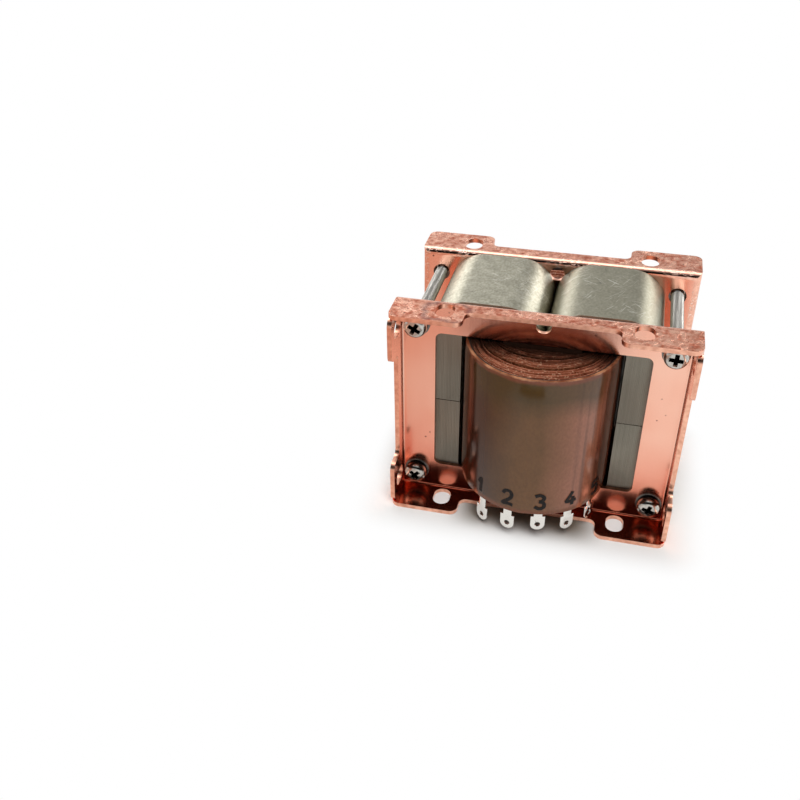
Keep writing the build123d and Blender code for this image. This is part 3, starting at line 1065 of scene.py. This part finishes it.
@dataclass
class CutCores:
    """Two loops of wound steel strip, each cut in two halves that meet on thin paper."""

    loop_width: float = 34.0
    leg_length: float = 35.3
    build: float = 10.0
    strip_width: float = 32.6
    corner_radius: float = 11.5
    corner_steps: int = 11
    half_gap: float = 0.1
    strips: int = 20
    strip_gap: float = 0.03
    edge_play: float = 0.09
    finish: Finish = CoreSteel()

    def make(self) -> None:
        """Makes the four halves and dresses the gap papers."""
        tree = self.strip_tree()
        for seed, (side, level) in enumerate((side, level) for side in Side for level in Level):
            node = f"{side.name.lower()}_core_{level.name.lower()}"
            piece = new_object(f"{node}_strip")
            run_tree(piece, tree, {
                "Loop Width": self.loop_width, "Leg Length": self.leg_length,
                "Pitch": self.build / self.strips, "Gap": self.strip_gap, "Strip Width": self.strip_width,
                "Corner Radius": self.corner_radius, "Edge Play": self.edge_play,
                "Centre": side.value * self.loop_width / 2,
                "Cut Level": MIDDLE + level.value * self.half_gap,
            }, {
                "Up": float(level.value), "Strips": self.strips, "Seed": seed,
                "Material": self.finish.material(),
            })
            mark_faces(piece, "strip_edge", (
                abs(face.normal.y) > 0.7 or self.at_cut(face) for face in piece.data.polygons))
            smooth(piece, 30)
            settle(piece, "core_steel", node)
        dress_node("gap_papers", "cut_gap_papers", "gap_paper", GAP_PAPER)

    def at_cut(self, face: bpy.types.MeshPolygon) -> bool:
        """Tells if a face lies in the cut between the halves."""
        return abs(face.center.z / MM - MIDDLE) < 2 * self.half_gap and abs(face.normal.z) > 0.7

    def strip_tree(self) -> Tree:
        """Builds the tree that winds one half: nested strips along a C with rounded corners.

        Returns:
            The Geometry Nodes tree.
        """
        tree, given = new_tree("wound_strip", Float=(
            "Loop Width", "Leg Length", "Pitch", "Gap", "Strip Width", "Corner Radius", "Edge Play",
            "Centre", "Cut Level", "Up"), Int=("Strips", "Seed"))
        square = add_node(tree, "GeometryNodeCurvePrimitiveQuadrilateral", {"mode": "RECTANGLE"}, {
            "Width": 2.0, "Height": 2.0})
        opened = add_node(tree, "GeometryNodeSetSplineCyclic", links={"Geometry": square, "Cyclic": False})
        strips, strip = numbered_copies(opened, given["Strips"])
        inset = (strip + 0.5) * given["Pitch"]
        corner = point_axes(tree)
        path = placed(
            strips,
            corner["X"].reckon("LESS_THAN", 0.0) * (inset - given["Leg Length"]),
            corner["Y"].reckon("SIGN") * (given["Loop Width"] * 0.5 - inset), 0.0)
        rounded = add_node(tree, "GeometryNodeFilletCurve", {"mode": "POLY"}, {
            "Curve": path, "Count": self.corner_steps, "Radius": given["Corner Radius"] - inset})
        wound = swept(rounded, given["Pitch"] - given["Gap"], given["Strip Width"], 0, True)
        wound, tone = toned(wound, "strip_tone", strip, given["Seed"])
        here = point_axes(tree)
        across = here["Z"] - here["Z"].reckon("SIGN") * (tone * given["Edge Play"])
        stood = placed(
            wound, given["Centre"] + here["Y"], given["Up"] * -1.0 * across,
            given["Cut Level"] - given["Up"] * here["X"])
        finish_tree(stood, given["Material"])
        return tree


@dataclass(frozen=True)
class Layer:
    """One layer of the coil, from its inner to its outer outline, in millimetres.

    An outline is a half width and a reach to the front and the rear. Some turns drop lower than
    others, edges wave and sag, the film steps in over a whole turn, its lip tilts in, and the
    flat sides bow out.
    """

    node: str
    name: str
    slot: str
    finish: Finish
    first: Span
    last: Span
    turns: int
    height: float
    drop: float = 0.0
    wave: float = 0.0
    rows: int = 0
    step: float = 0.0
    tilt: float = 0.0
    sag: float = 0.0
    bow: float = 0.02


@dataclass
class Coil:
    """The coil: turns of paper and wire on a board tube, black paper and film."""

    flat_half: float = 13.1
    crown_half_angle: float = 40.0
    least_shoulder: float = 0.4
    around: int = 192
    deburr: float = 0.08
    wave_scale: float = 260.0
    sag_scale: float = 55.0
    sag_span: Span = (0.45, 0.7)
    lip_start: float = 0.93
    end_share: float = 0.999
    layers: tuple[Layer, ...] = (
        Layer("inner_primary", "inner_primary_turns", "winding", WoundPaper(),
              (11.45, 17.75), (14.595, 22.44), 8, 48.1, 0.8, 0.35, sag=0.8),
        Layer("inner_interlayer", "inner_interlayer_turn", "insulation_paper", INTERLAYER,
              (14.595, 22.5), (14.995, 23.42), 1, 48.1, 0.2, 0.3),
        Layer("secondary", "secondary_turns", "winding", WoundPaper(),
              (14.995, 23.5), (17.585, 27.7), 7, 48.1, 0.8, 0.35, sag=0.8),
        Layer("outer_interlayer", "outer_interlayer_turn", "insulation_paper", INTERLAYER,
              (17.585, 27.76), (17.985, 28.7), 1, 48.1, 0.2, 0.3),
        Layer("outer_primary", "outer_primary_turns", "winding", WoundPaper(),
              (17.985, 28.78), (21.5, 34.4), 9, 48.3, 0.6, 0.4, sag=0.9),
        Layer("outer_wrap", "film_wrap", "wrap_film", FilmWrap(),
              (22.4, 35.5), (23.2, 36.3), 1, 48.7, 0.0, 0.25, 14, 0.12, 0.25, 0.3, 0.65),
    )

    def make(self) -> None:
        """Makes every layer, the board tube and the black paper."""
        tree = self.layer_tree()
        for seed, layer in enumerate(self.layers):
            self.wind(tree, layer, seed)
        dress_node("coil_former", "board_tube", "former_board", PRESSBOARD, self.deburr)
        dress_node("lug_paper", "black_lug_paper", "lug_paper", BLACK_PAPER, self.deburr)

    def wind(self, tree: Tree, layer: Layer, seed: int) -> None:
        """Makes one layer.

        Args:
            tree: The tree that winds layers.
            layer: The layer's sizes and finish.
            seed: The number that sets its random edges.
        """
        piece = new_object(layer.name)
        run_tree(piece, tree, {
            "First Half Width": layer.first[0], "First Reach": layer.first[1],
            "Last Half Width": layer.last[0], "Last Reach": layer.last[1],
            "Thickness": (layer.last[0] - layer.first[0]) / layer.turns, "Height": layer.height,
            "Drop": layer.drop, "Wave": layer.wave, "Step": layer.step, "Tilt": layer.tilt,
            "Sag": layer.sag, "Bow": layer.bow, "Middle": MIDDLE,
        }, {"Turns": layer.turns, "Rows": layer.rows, "Seed": seed, "Material": layer.finish.material()})
        smooth(piece, 40)
        settle(piece, layer.slot, layer.node)

    def layer_tree(self) -> Tree:
        """Builds the tree that winds one layer.

        Returns:
            The Geometry Nodes tree.
        """
        tree, given = new_tree("wound_layer", Float=(
            "First Half Width", "First Reach", "Last Half Width", "Last Reach", "Thickness", "Height",
            "Drop", "Wave", "Step", "Tilt", "Sag", "Bow", "Middle"), Int=("Turns", "Rows", "Seed"))
        ring = add_node(tree, "GeometryNodeCurvePrimitiveCircle", {"mode": "RADIUS"}, {
            "Resolution": self.around, "Radius": 1.0})
        turns, turn = numbered_copies(ring, given["Turns"])
        path = placed(turns, *self.outline(given, turn), given["Middle"])
        wound = swept(path, given["Thickness"], given["Height"], given["Rows"], False)
        wound, tone = toned(wound, "turn_tone", turn, given["Seed"])
        worn = add_node(tree, "GeometryNodeSetPosition", links={
            "Geometry": wound, "Offset": self.edge_offset(given, tone)})
        finish_tree(worn, given["Material"])
        return tree

    def outline(self, given: Wire, turn: Wire) -> tuple[Wire, Wire]:
        """Places the points of each turn, which start as a unit circle of the ways it can face.

        A turn is a three-centred arch: a crown arc at the front and the rear, shoulder arcs, and
        sides between them that bow out a little.

        Args:
            given: The tree's inputs.
            turn: The number of the turn.

        Returns:
            The points' X and Y.
        """
        lean, half = math.radians(self.crown_half_angle), self.flat_half * MM
        share = math.sin(lean) + math.cos(lean) - 1
        along = (turn + 0.5) / given["Turns"]
        width = along.between(given["First Half Width"], given["Last Half Width"])
        reach = along.between(given["First Reach"], given["Last Reach"])
        rise = reach - half
        crown = width * (math.cos(lean) / share) - rise * ((1 - math.sin(lean)) / share)
        shoulder = rise * (math.sin(lean) / share) - width * ((1 - math.cos(lean)) / share)
        shoulder = shoulder.reckon("MAXIMUM", self.least_shoulder * MM)
        slack = (given["Bow"] * given["Bow"] + half * half) / (given["Bow"] * 2.0)
        way = point_axes(turn.tree)
        x, y = way["X"], way["Y"]
        on_crown = abs(x).reckon("LESS_THAN", math.sin(lean))
        on_side = abs(y).reckon("LESS_THAN", half / slack)
        bend = on_side.between(on_crown.between(shoulder, crown), slack)
        across = on_side.between(on_crown.between(width - shoulder, 0.0), width + given["Bow"] - slack)
        out = on_side.between(on_crown.between(half, reach - crown), 0.0)
        heading = x.reckon("ARCTAN2", y * -1.0)
        lap = (heading * (-0.5 / math.pi) + 1.0).reckon("FRACT")
        bend = bend - lap * given["Step"]
        return x.reckon("SIGN") * across + bend * x, y.reckon("SIGN") * out + bend * y

    def edge_offset(self, given: Wire, tone: Wire) -> Wire:
        """Moves the ends of each turn: some turns are lower, all edges wave, and a free lip tilts in.

        Args:
            given: The tree's inputs.
            tone: A random number for each turn.

        Returns:
            The way and length of the move.
        """
        tree = tone.tree
        here = point_axes(tree)
        away = here["Z"] - given["Middle"]
        share = abs(away) / (given["Height"] * 0.5)
        waves, sags = (
            add_node(tree, "ShaderNodeTexNoise", {"noise_dimensions": "4D"}, {
                "Vector": add_node(tree, "GeometryNodeInputPosition"), "W": tone * drift,
                "Scale": scale, "Detail": detail})["Fac"]
            for drift, scale, detail in ((9.0, self.wave_scale, 3.0), (0.6, self.sag_scale, 1.0)))
        edge = waves * given["Wave"] + sags.slope(*self.sag_span) * given["Sag"]
        lowered = tone * given["Drop"] + edge
        down = lowered * share.reckon("GREATER_THAN", self.end_share) * (away.reckon("SIGN") * -1.0)
        beside = (abs(here["Y"]) - self.flat_half * MM).reckon("MAXIMUM", 0.0)
        front = add_node(tree, "ShaderNodeVectorMath", {"operation": "NORMALIZE"}, {
            0: add_node(tree, "ShaderNodeCombineXYZ", links={
                "X": here["X"], "Y": here["Y"].reckon("SIGN") * beside})})
        tilted = add_node(tree, "ShaderNodeVectorMath", {"operation": "SCALE"}, {
            0: front, "Scale": share.slope(self.lip_start, self.end_share) * given["Tilt"] * -1.0})
        return add_node(tree, "ShaderNodeVectorMath", {"operation": "ADD"}, {
            0: tilted, 1: add_node(tree, "ShaderNodeCombineXYZ", links={"Z": down})})


@dataclass
class TerminalNumbers:
    """Plain numbers in pen on the film, one over each lug.

    A stroke's points are shares of a number's width, from its middle, and of its height.
    """

    radius: float = 23.2
    centre_y: float = -13.1
    first_angle: float = -36.6
    pitch_angle: float = 24.4
    level: float = 16.7
    width: float = 3.1
    height: float = 5.2
    pen: float = 1.25
    point_spacing: float = 0.3
    ink_height: float = 0.015
    ink_share: float = 0.04
    strokes: tuple[tuple[tuple[Span, ...], ...], ...] = (
        (((-0.3, 0.62), (0.06, 1.0), (0.02, 0.5), (-0.03, 0.0)),),
        (((-0.5, 0.74), (-0.25, 0.98), (0.2, 0.98), (0.4, 0.74),
          (0.22, 0.45), (-0.5, 0.02), (0.0, 0.05), (0.55, 0.0)),),
        (((-0.48, 0.9), (0.0, 1.0), (0.4, 0.82), (0.2, 0.57), (-0.1, 0.52)),
         ((-0.1, 0.52), (0.36, 0.42), (0.4, 0.12), (0.0, -0.02), (-0.5, 0.12))),
        (((0.12, 1.0), (-0.2, 0.65), (-0.52, 0.32), (0.0, 0.3), (0.56, 0.34)),
         ((0.2, 0.62), (0.16, 0.3), (0.14, 0.0))),
        (((0.45, 0.98), (0.0, 0.97), (-0.38, 0.96)),
         ((-0.38, 0.96), (-0.44, 0.58), (0.1, 0.62), (0.45, 0.32), (0.1, 0.0), (-0.48, 0.08))),
    )

    def make(self) -> None:
        """Draws the five numbers and bends them onto the film."""
        curve = bpy.data.curves.new("pen_strokes", "CURVE")
        curve.dimensions = "3D"
        for index, number in enumerate(self.strokes):
            start = math.radians(self.first_angle + index * self.pitch_angle) * self.radius
            for stroke in number:
                spline = curve.splines.new("POLY")
                spline.points.add(len(stroke) - 1)
                for point, (along, up) in zip(spline.points, stroke):
                    place = (start + along * self.width, 0, self.level + (up - 0.5) * self.height)
                    point.co = (*metres(place), 1)
        drawn = new_object("pen_strokes", curve)
        piece = new_object("terminal_numbers")
        run_tree(piece, self.pen_tree(), {
            "Pen": self.pen, "Radius": self.radius + self.ink_height, "Centre": self.centre_y,
        }, {"Strokes": drawn, "Material": PenInk().material()})
        bpy.data.objects.remove(drawn)
        smooth(piece, 60)
        settle(piece, "wrap_film")

    def pen_tree(self) -> Tree:
        """Builds the tree that gives strokes their width and bends them round the film.

        Returns:
            The Geometry Nodes tree.
        """
        tree, given = new_tree("pen_marks", Object=("Strokes",), Float=("Pen", "Radius", "Centre"))
        read = add_node(tree, "GeometryNodeObjectInfo", links={"Object": given["Strokes"]})
        eased = add_node(tree, "GeometryNodeCurveSplineType", {"spline_type": "CATMULL_ROM"}, {
            "Curve": read["Geometry"]})
        even = add_node(tree, "GeometryNodeResampleCurve", {"mode": "LENGTH"}, {
            "Curve": eased, "Length": self.point_spacing * MM})
        nib = add_node(tree, "GeometryNodeCurvePrimitiveCircle", {"mode": "RADIUS"}, {
            "Resolution": 10, "Radius": given["Pen"] * 0.5})
        inked = add_node(tree, "GeometryNodeCurveToMesh", links={
            "Curve": even, "Profile Curve": nib, "Fill Caps": True})
        here = point_axes(tree)
        angle = here["X"] / given["Radius"]
        lifted = given["Radius"] - here["Y"] * self.ink_share
        bent = placed(
            inked, angle.reckon("SINE") * lifted,
            given["Centre"] - angle.reckon("COSINE") * lifted, here["Z"])
        finish_tree(bent, given["Material"])
        return tree


@dataclass
class SolderLugs:
    """Five stamped and tinned lugs whose tails are held in the black paper."""

    count: int = 5
    deburr: float = 0.09

    def make(self) -> None:
        """Makes the lugs from the CAD's solids, with broken edges."""
        for index in range(1, self.count + 1):
            dress_node(
                f"solder_lug_{index}", f"tinned_lug_{index}", "tinned_brass", TINNED_BRASS, self.deburr)


@dataclass
class Fasteners:
    """Four long pan head screws with spring washers, flat washers and nuts, made along the Y axis."""

    inset_x: float = 37.3
    inset_z: float = 27.6
    turns: tuple[float, ...] = (42.0, 18.0, 28.0, 4.0)
    screw_radius: float = 2.0
    seat: float = -19.5
    end: float = 25.5
    thread_start: float = -15.5
    thread_pitch: float = 0.7
    thread_depth: float = 0.36
    thread_run_in: float = 1.4
    thread_run_out: float = 0.8
    thread_around: int = 28
    head_radius: float = 3.5
    head_height: float = 2.6
    head_break: float = 0.12
    rim_share: float = 0.34
    crown_radius: float = 1.9
    crown_share: float = 0.97
    crown_steps: int = 8
    head_around: int = 64
    recess_span: float = 4.2
    recess_width: float = 1.3
    recess_depth: float = 2.0
    punch_clearance: Spot = (0.25, 0.06, 0.6)
    punch_taper: Span = (0.42, 0.62)
    spring_inner: float = 2.3
    spring_outer: float = 3.55
    spring_thickness: float = 1.0
    spring_gap: float = 0.9
    spring_lift: float = 0.16
    spring_play: float = 0.08
    spring_deburr: float = 0.14
    washer_inner: float = 2.3
    washer_outer: float = 4.0
    washer_thickness: float = 0.8
    washer_deburr: float = 0.12
    plate_face: float = 17.7
    nut_across_flats: float = 7.0
    nut_height: float = 3.2
    nut_chamfer: float = 0.55
    nut_flat_share: float = 0.97
    bore_play: float = 0.02

    def make(self) -> None:
        """Makes each kind once and sets it at the four corners."""
        tree = self.corner_tree()
        front = -self.plate_face - self.washer_thickness
        corners = [metres((sx * self.inset_x, 0, MIDDLE + sz * self.inset_z))
                   for sz in (-1, 1) for sx in (-1, 1)]
        for source, name, slot, node, finish, tightened in (
            (self.screw(), "pan_head_screws", "bright_steel", "clamp_screws", NICKEL, True),
            (self.spring_washer(), "split_washers", "dark_steel", "spring_washers",
             BLACKED_SPRING_STEEL, False),
            (self.flat_washer(front), "front_flat_washers", "bright_steel", "front_washers",
             ZINC, False),
            (self.flat_washer(self.plate_face), "rear_flat_washers", "bright_steel", "rear_washers",
             ZINC, False),
            (self.nut(), "hexagon_nuts", "bright_steel", "nuts", NICKEL, True),
        ):
            piece = new_object(name)
            piece.data.from_pydata(corners, [], [])
            layer = piece.data.attributes.new("tightened", "FLOAT", "POINT")
            layer.data.foreach_set("value", [math.radians(turn) * tightened for turn in self.turns])
            run_tree(piece, tree, {}, {"Part": source, "Material": finish.material()})
            bpy.data.objects.remove(source)
            smooth(piece, 35)
            settle(piece, slot, node)

    def corner_tree(self) -> Tree:
        """Builds the tree that sets a part at every corner point, turned as it was tightened.

        Returns:
            The Geometry Nodes tree.
        """
        tree, given = new_tree("at_four_corners", Geometry=("Corners",), Object=("Part",))
        part = add_node(tree, "GeometryNodeObjectInfo", links={"Object": given["Part"]})
        tightened = add_node(tree, "GeometryNodeInputNamedAttribute", {"data_type": "FLOAT"}, {
            "Name": "tightened"})
        rotation = add_node(tree, "ShaderNodeCombineXYZ", links={"Y": tightened})
        points = add_node(tree, "GeometryNodeMeshToPoints", links={"Mesh": given["Corners"]})
        parts = add_node(tree, "GeometryNodeInstanceOnPoints", links={
            "Points": points, "Instance": part["Geometry"], "Rotation": rotation})
        finish_tree(parts, given["Material"])
        return tree

    def screw(self) -> Piece:
        """Makes a screw: a domed head with a cross recess, and a shank that is threaded to its end.

        Returns:
            The screw, with the depth in its recess stored on the points there.
        """
        rim = self.head_height * self.rim_share
        rise = (self.head_height - rim) * self.crown_share
        top = self.seat - self.head_height
        head = [(0, self.seat), (self.head_radius - self.head_break, self.seat),
                (self.head_radius, self.seat - self.head_break)]
        for step in range(self.crown_steps + 1):
            angle = math.pi / 2 * step / self.crown_steps
            head.append((self.head_radius - (self.head_radius - self.crown_radius) * (1 - math.cos(angle)),
                         self.seat - rim - rise * math.sin(angle)))
        head.append((0, top))
        solid = worked_object("screw_head", lathe(head[::-1], self.head_around))
        for crossed in (False, True):
            self.cut(solid, self.recess_blade(crossed), "DIFFERENCE")
        work = bmesh.new()
        work.from_mesh(solid.data)
        bpy.data.objects.remove(solid)
        deep = work.verts.layers.float.new("recess")
        for vert in work.verts:
            x, y, z = vert.co / MM
            if math.hypot(x, z) < self.recess_span / 2 and y < self.seat - self.head_break:
                vert[deep] = max(0.0, (y - top) / self.recess_depth - 0.1)
        shank = worked_object("shank", self.shank())
        work.from_mesh(shank.data)
        bpy.data.objects.remove(shank)
        return worked_object("screw", work)

    def recess_blade(self, crossed: bool) -> Piece:
        """Makes one tapered blade of the punch for the cross recess.

        Args:
            crossed: Whether it runs along Z in place of X.

        Returns:
            The blade, pointing along +Y into the head.
        """
        face = self.seat - self.head_height
        span, width = self.recess_span / 2, self.recess_width / 2
        more_span, more_width, above = self.punch_clearance
        rings = []
        for a, b, y in (
            (span + more_span, width + more_width, face - above),
            (span * self.punch_taper[0], width * self.punch_taper[1], face + self.recess_depth),
        ):
            corners = ((-a, -b), (a, -b), (a, b), (-a, b))
            rings.append([(across, y, along) if crossed else (along, y, across)
                          for along, across in corners])
        return worked_object("punch_blade", lofted(rings))

    def cut(self, solid: Piece, tool: Piece, operation: str) -> None:
        """Cuts a solid by a tool, which is used up.

        Args:
            solid: The object whose mesh changes.
            tool: The other solid.
            operation: DIFFERENCE or INTERSECT.
        """
        step = solid.modifiers.new(operation.lower(), "BOOLEAN")
        step.operation = operation
        step.solver = "EXACT"
        step.object = tool
        evaluated_mesh(solid)
        bpy.data.objects.remove(tool)

    def shank(self) -> bmesh.types.BMesh:
        """Makes the shank, with a helical thread from behind the front plate to its end.

        Returns:
            A closed surface on the Y axis.
        """
        steps = 8
        length = self.end - self.thread_start
        count = int(length / self.thread_pitch * steps)
        rings = []
        for y in (self.seat, *(self.thread_start + length * row / count for row in range(count + 1))):
            started = y - self.thread_start
            run_in = max(0.0, started / self.thread_run_in)
            run_out = max(0.0, (self.end - y) / self.thread_run_out)
            fade = min(1.0, run_in, run_out)
            ring = []
            for step in range(self.thread_around):
                angle = 2 * math.pi * step / self.thread_around
                groove = 1 - abs(2 * ((started / self.thread_pitch + step / self.thread_around) % 1.0) - 1)
                radius = self.screw_radius - self.thread_depth * groove * fade
                ring.append((radius * math.cos(angle), y, radius * math.sin(angle)))
            rings.append(ring)
        return lofted(rings)

    def spring_washer(self) -> Piece:
        """Makes a split ring of square wire whose ends spring a little apart.

        Returns:
            The washer, with its gap to the right.
        """
        steps = 56
        gap = self.spring_gap / self.spring_outer
        inner, outer = self.spring_inner, self.spring_outer
        near, far = self.seat + self.spring_play, self.seat + self.spring_thickness - self.spring_play
        section = ((inner, near), (outer, near), (outer, far), (inner, far))
        rings = []
        for step in range(steps + 1):
            angle = gap / 2 + (2 * math.pi - gap) * step / steps
            lean = (step / steps - 0.5) * self.spring_lift
            rings.append([(radius * math.cos(angle), y + lean, radius * math.sin(angle))
                          for radius, y in section])
        made = worked_object("spring_washer", lofted(rings))
        bevelled(made, self.spring_deburr)
        return made

    def flat_washer(self, face: float) -> Piece:
        """Makes a flat washer that starts at a Y.

        Args:
            face: That Y, in millimetres.

        Returns:
            The washer, with broken edges.
        """
        inner, outer, far = self.washer_inner, self.washer_outer, face + self.washer_thickness
        work = lathe([(inner, face), (outer, face), (outer, far), (inner, far), (inner, face)], 56)
        bmesh.ops.remove_doubles(work, verts=work.verts, dist=1e-7)
        bmesh.ops.recalc_face_normals(work, faces=work.faces)
        made = worked_object("flat_washer", work)
        bevelled(made, self.washer_deburr)
        return made

    def nut(self) -> Piece:
        """Makes a hexagon nut with turned corners and a bore.

        Returns:
            The nut, against the rear washer.
        """
        low = self.plate_face + self.washer_thickness
        high = low + self.nut_height
        corner = self.nut_across_flats / 2 / math.cos(math.pi / 6)
        flat = self.nut_across_flats / 2 * self.nut_flat_share
        wide = corner + 0.3
        bore = self.screw_radius + self.bore_play
        prism = worked_object("nut", lofted([round_points(corner, y, 6) for y in (low, high)]))
        turned = [(0, low), (flat, low), (wide, low + self.nut_chamfer), (wide, high - self.nut_chamfer),
                  (flat, high), (0, high)]
        drill = [(0, low - 1), (bore, low - 1), (bore, high + 1), (0, high + 1)]
        self.cut(prism, worked_object("turned_corners", lathe(turned, self.head_around)), "INTERSECT")
        self.cut(prism, worked_object("nut_bore", lathe(drill, 40)), "DIFFERENCE")
        return prism


@dataclass
class Studio:
    """A plain pale floor, soft lamps, a white surround and the camera. Lamps' places are in metres."""

    floor_half: float = 1.6
    aim: Spot = (0, 0, 0.03)
    lamps: tuple[tuple[str, Spot, float, float], ...] = (
        ("overhead_softbox", (-0.16, 0.1, 0.62), 0.5, 1.0),
        ("front_softbox", (0.1, -0.36, 0.62), 0.35, 3.4),
    )
    camera_place: Spot = (18.106, -245.892, 198.534)
    camera_turn: Spot = (55.1668, 0.7305, 14.4817)
    lens: float = 40.8825

    def make(self) -> None:
        """Sets up the floor, the lamps, the surround and the camera."""
        work = bmesh.new()
        bmesh.ops.create_grid(work, x_segments=1, y_segments=1, size=self.floor_half)
        floor = worked_object("floor", work)
        floor.data.materials.append(PaperFloor().material())
        for name, place, size, power in self.lamps:
            self.lamp(name, place, size, power)
        self.surround()
        self.camera()

    def lamp(self, name: str, place: Spot, size: float, power: float) -> None:
        """Hangs a square softbox that metal doesn't show.

        Args:
            name: The lamp's name.
            place: Where it hangs, in metres.
            size: The length of its side, in metres.
            power: Its power in watts.
        """
        data = bpy.data.lights.new(name, "AREA")
        data.shape = "SQUARE"
        data.size = size
        data.energy = power
        lamp = new_object(name, data)
        lamp.location = place
        lamp.rotation_euler = (Vector(self.aim) - Vector(place)).to_track_quat("-Z", "Y").to_euler()
        lamp.visible_glossy = False

    def surround(self) -> None:
        """Makes the surround that lights the part and that its metal mirrors.

        It is white low down all round. Higher up it is dark in front and grey at the rear, with a
        bright card at either side and a small one overhead.
        """
        world = bpy.data.worlds.new("surround")
        bpy.context.scene.world = world
        world.use_nodes = True
        tree = world.node_tree
        tree.nodes.clear()
        way = add_node(tree, "ShaderNodeTexCoord")["Generated"]
        axes = add_node(tree, "ShaderNodeSeparateXYZ", links={0: way})
        x, y, z = axes["X"], axes["Y"], axes["Z"]
        rear = x.eased(-0.3, 0.1, 0.95, 0.56)
        side_cards = abs(x).eased(0.35, 0.6, 0.0, 3.0) * x.eased(-0.5, 0.5, 1.05, 1.5)
        overhead_card = z.eased(0.8, 0.93, 0.0, 2.0)
        dark_front = z.eased(0.76, 0.9, 0.005, 0.35)
        high = y.eased(0.05, -0.25).between(rear + side_cards + overhead_card, dark_front)
        mirrored = z.eased(0.0, 0.38).between(1.0, high)
        rays = add_node(tree, "ShaderNodeLightPath")
        seen = strongest((rays["Is Camera Ray"], rays["Is Transmission Ray"]))
        level = seen.between(rays["Is Glossy Ray"].between(0.3, mirrored), 1.0)
        light = add_node(tree, "ShaderNodeBackground", links={"Color": (1, 1, 1, 1), "Strength": level})
        add_node(tree, "ShaderNodeOutputWorld", links={"Surface": light})

    def camera(self) -> None:
        """Stands the camera where the photograph was taken from."""
        data = bpy.data.cameras.new("camera")
        data.lens = self.lens
        data.sensor_width = 36
        data.clip_start = 0.01
        camera = new_object("camera", data)
        camera.location = metres(self.camera_place)
        camera.rotation_euler = [math.radians(angle) for angle in self.camera_turn]
        bpy.context.scene.camera = camera
        bpy.context.scene.view_settings.view_transform = "Standard"


def main() -> None:
    """Builds the sub-assemblies in order."""
    logging.basicConfig(level=logging.INFO, format="%(name)s: %(message)s")
    assemblies = (
        Studio(), SheetFrames(), CutCores(), Coil(), TerminalNumbers(), SolderLugs(), Fasteners())
    for assembly in assemblies:
        assembly.make()


if __name__ == "__main__":
    main()
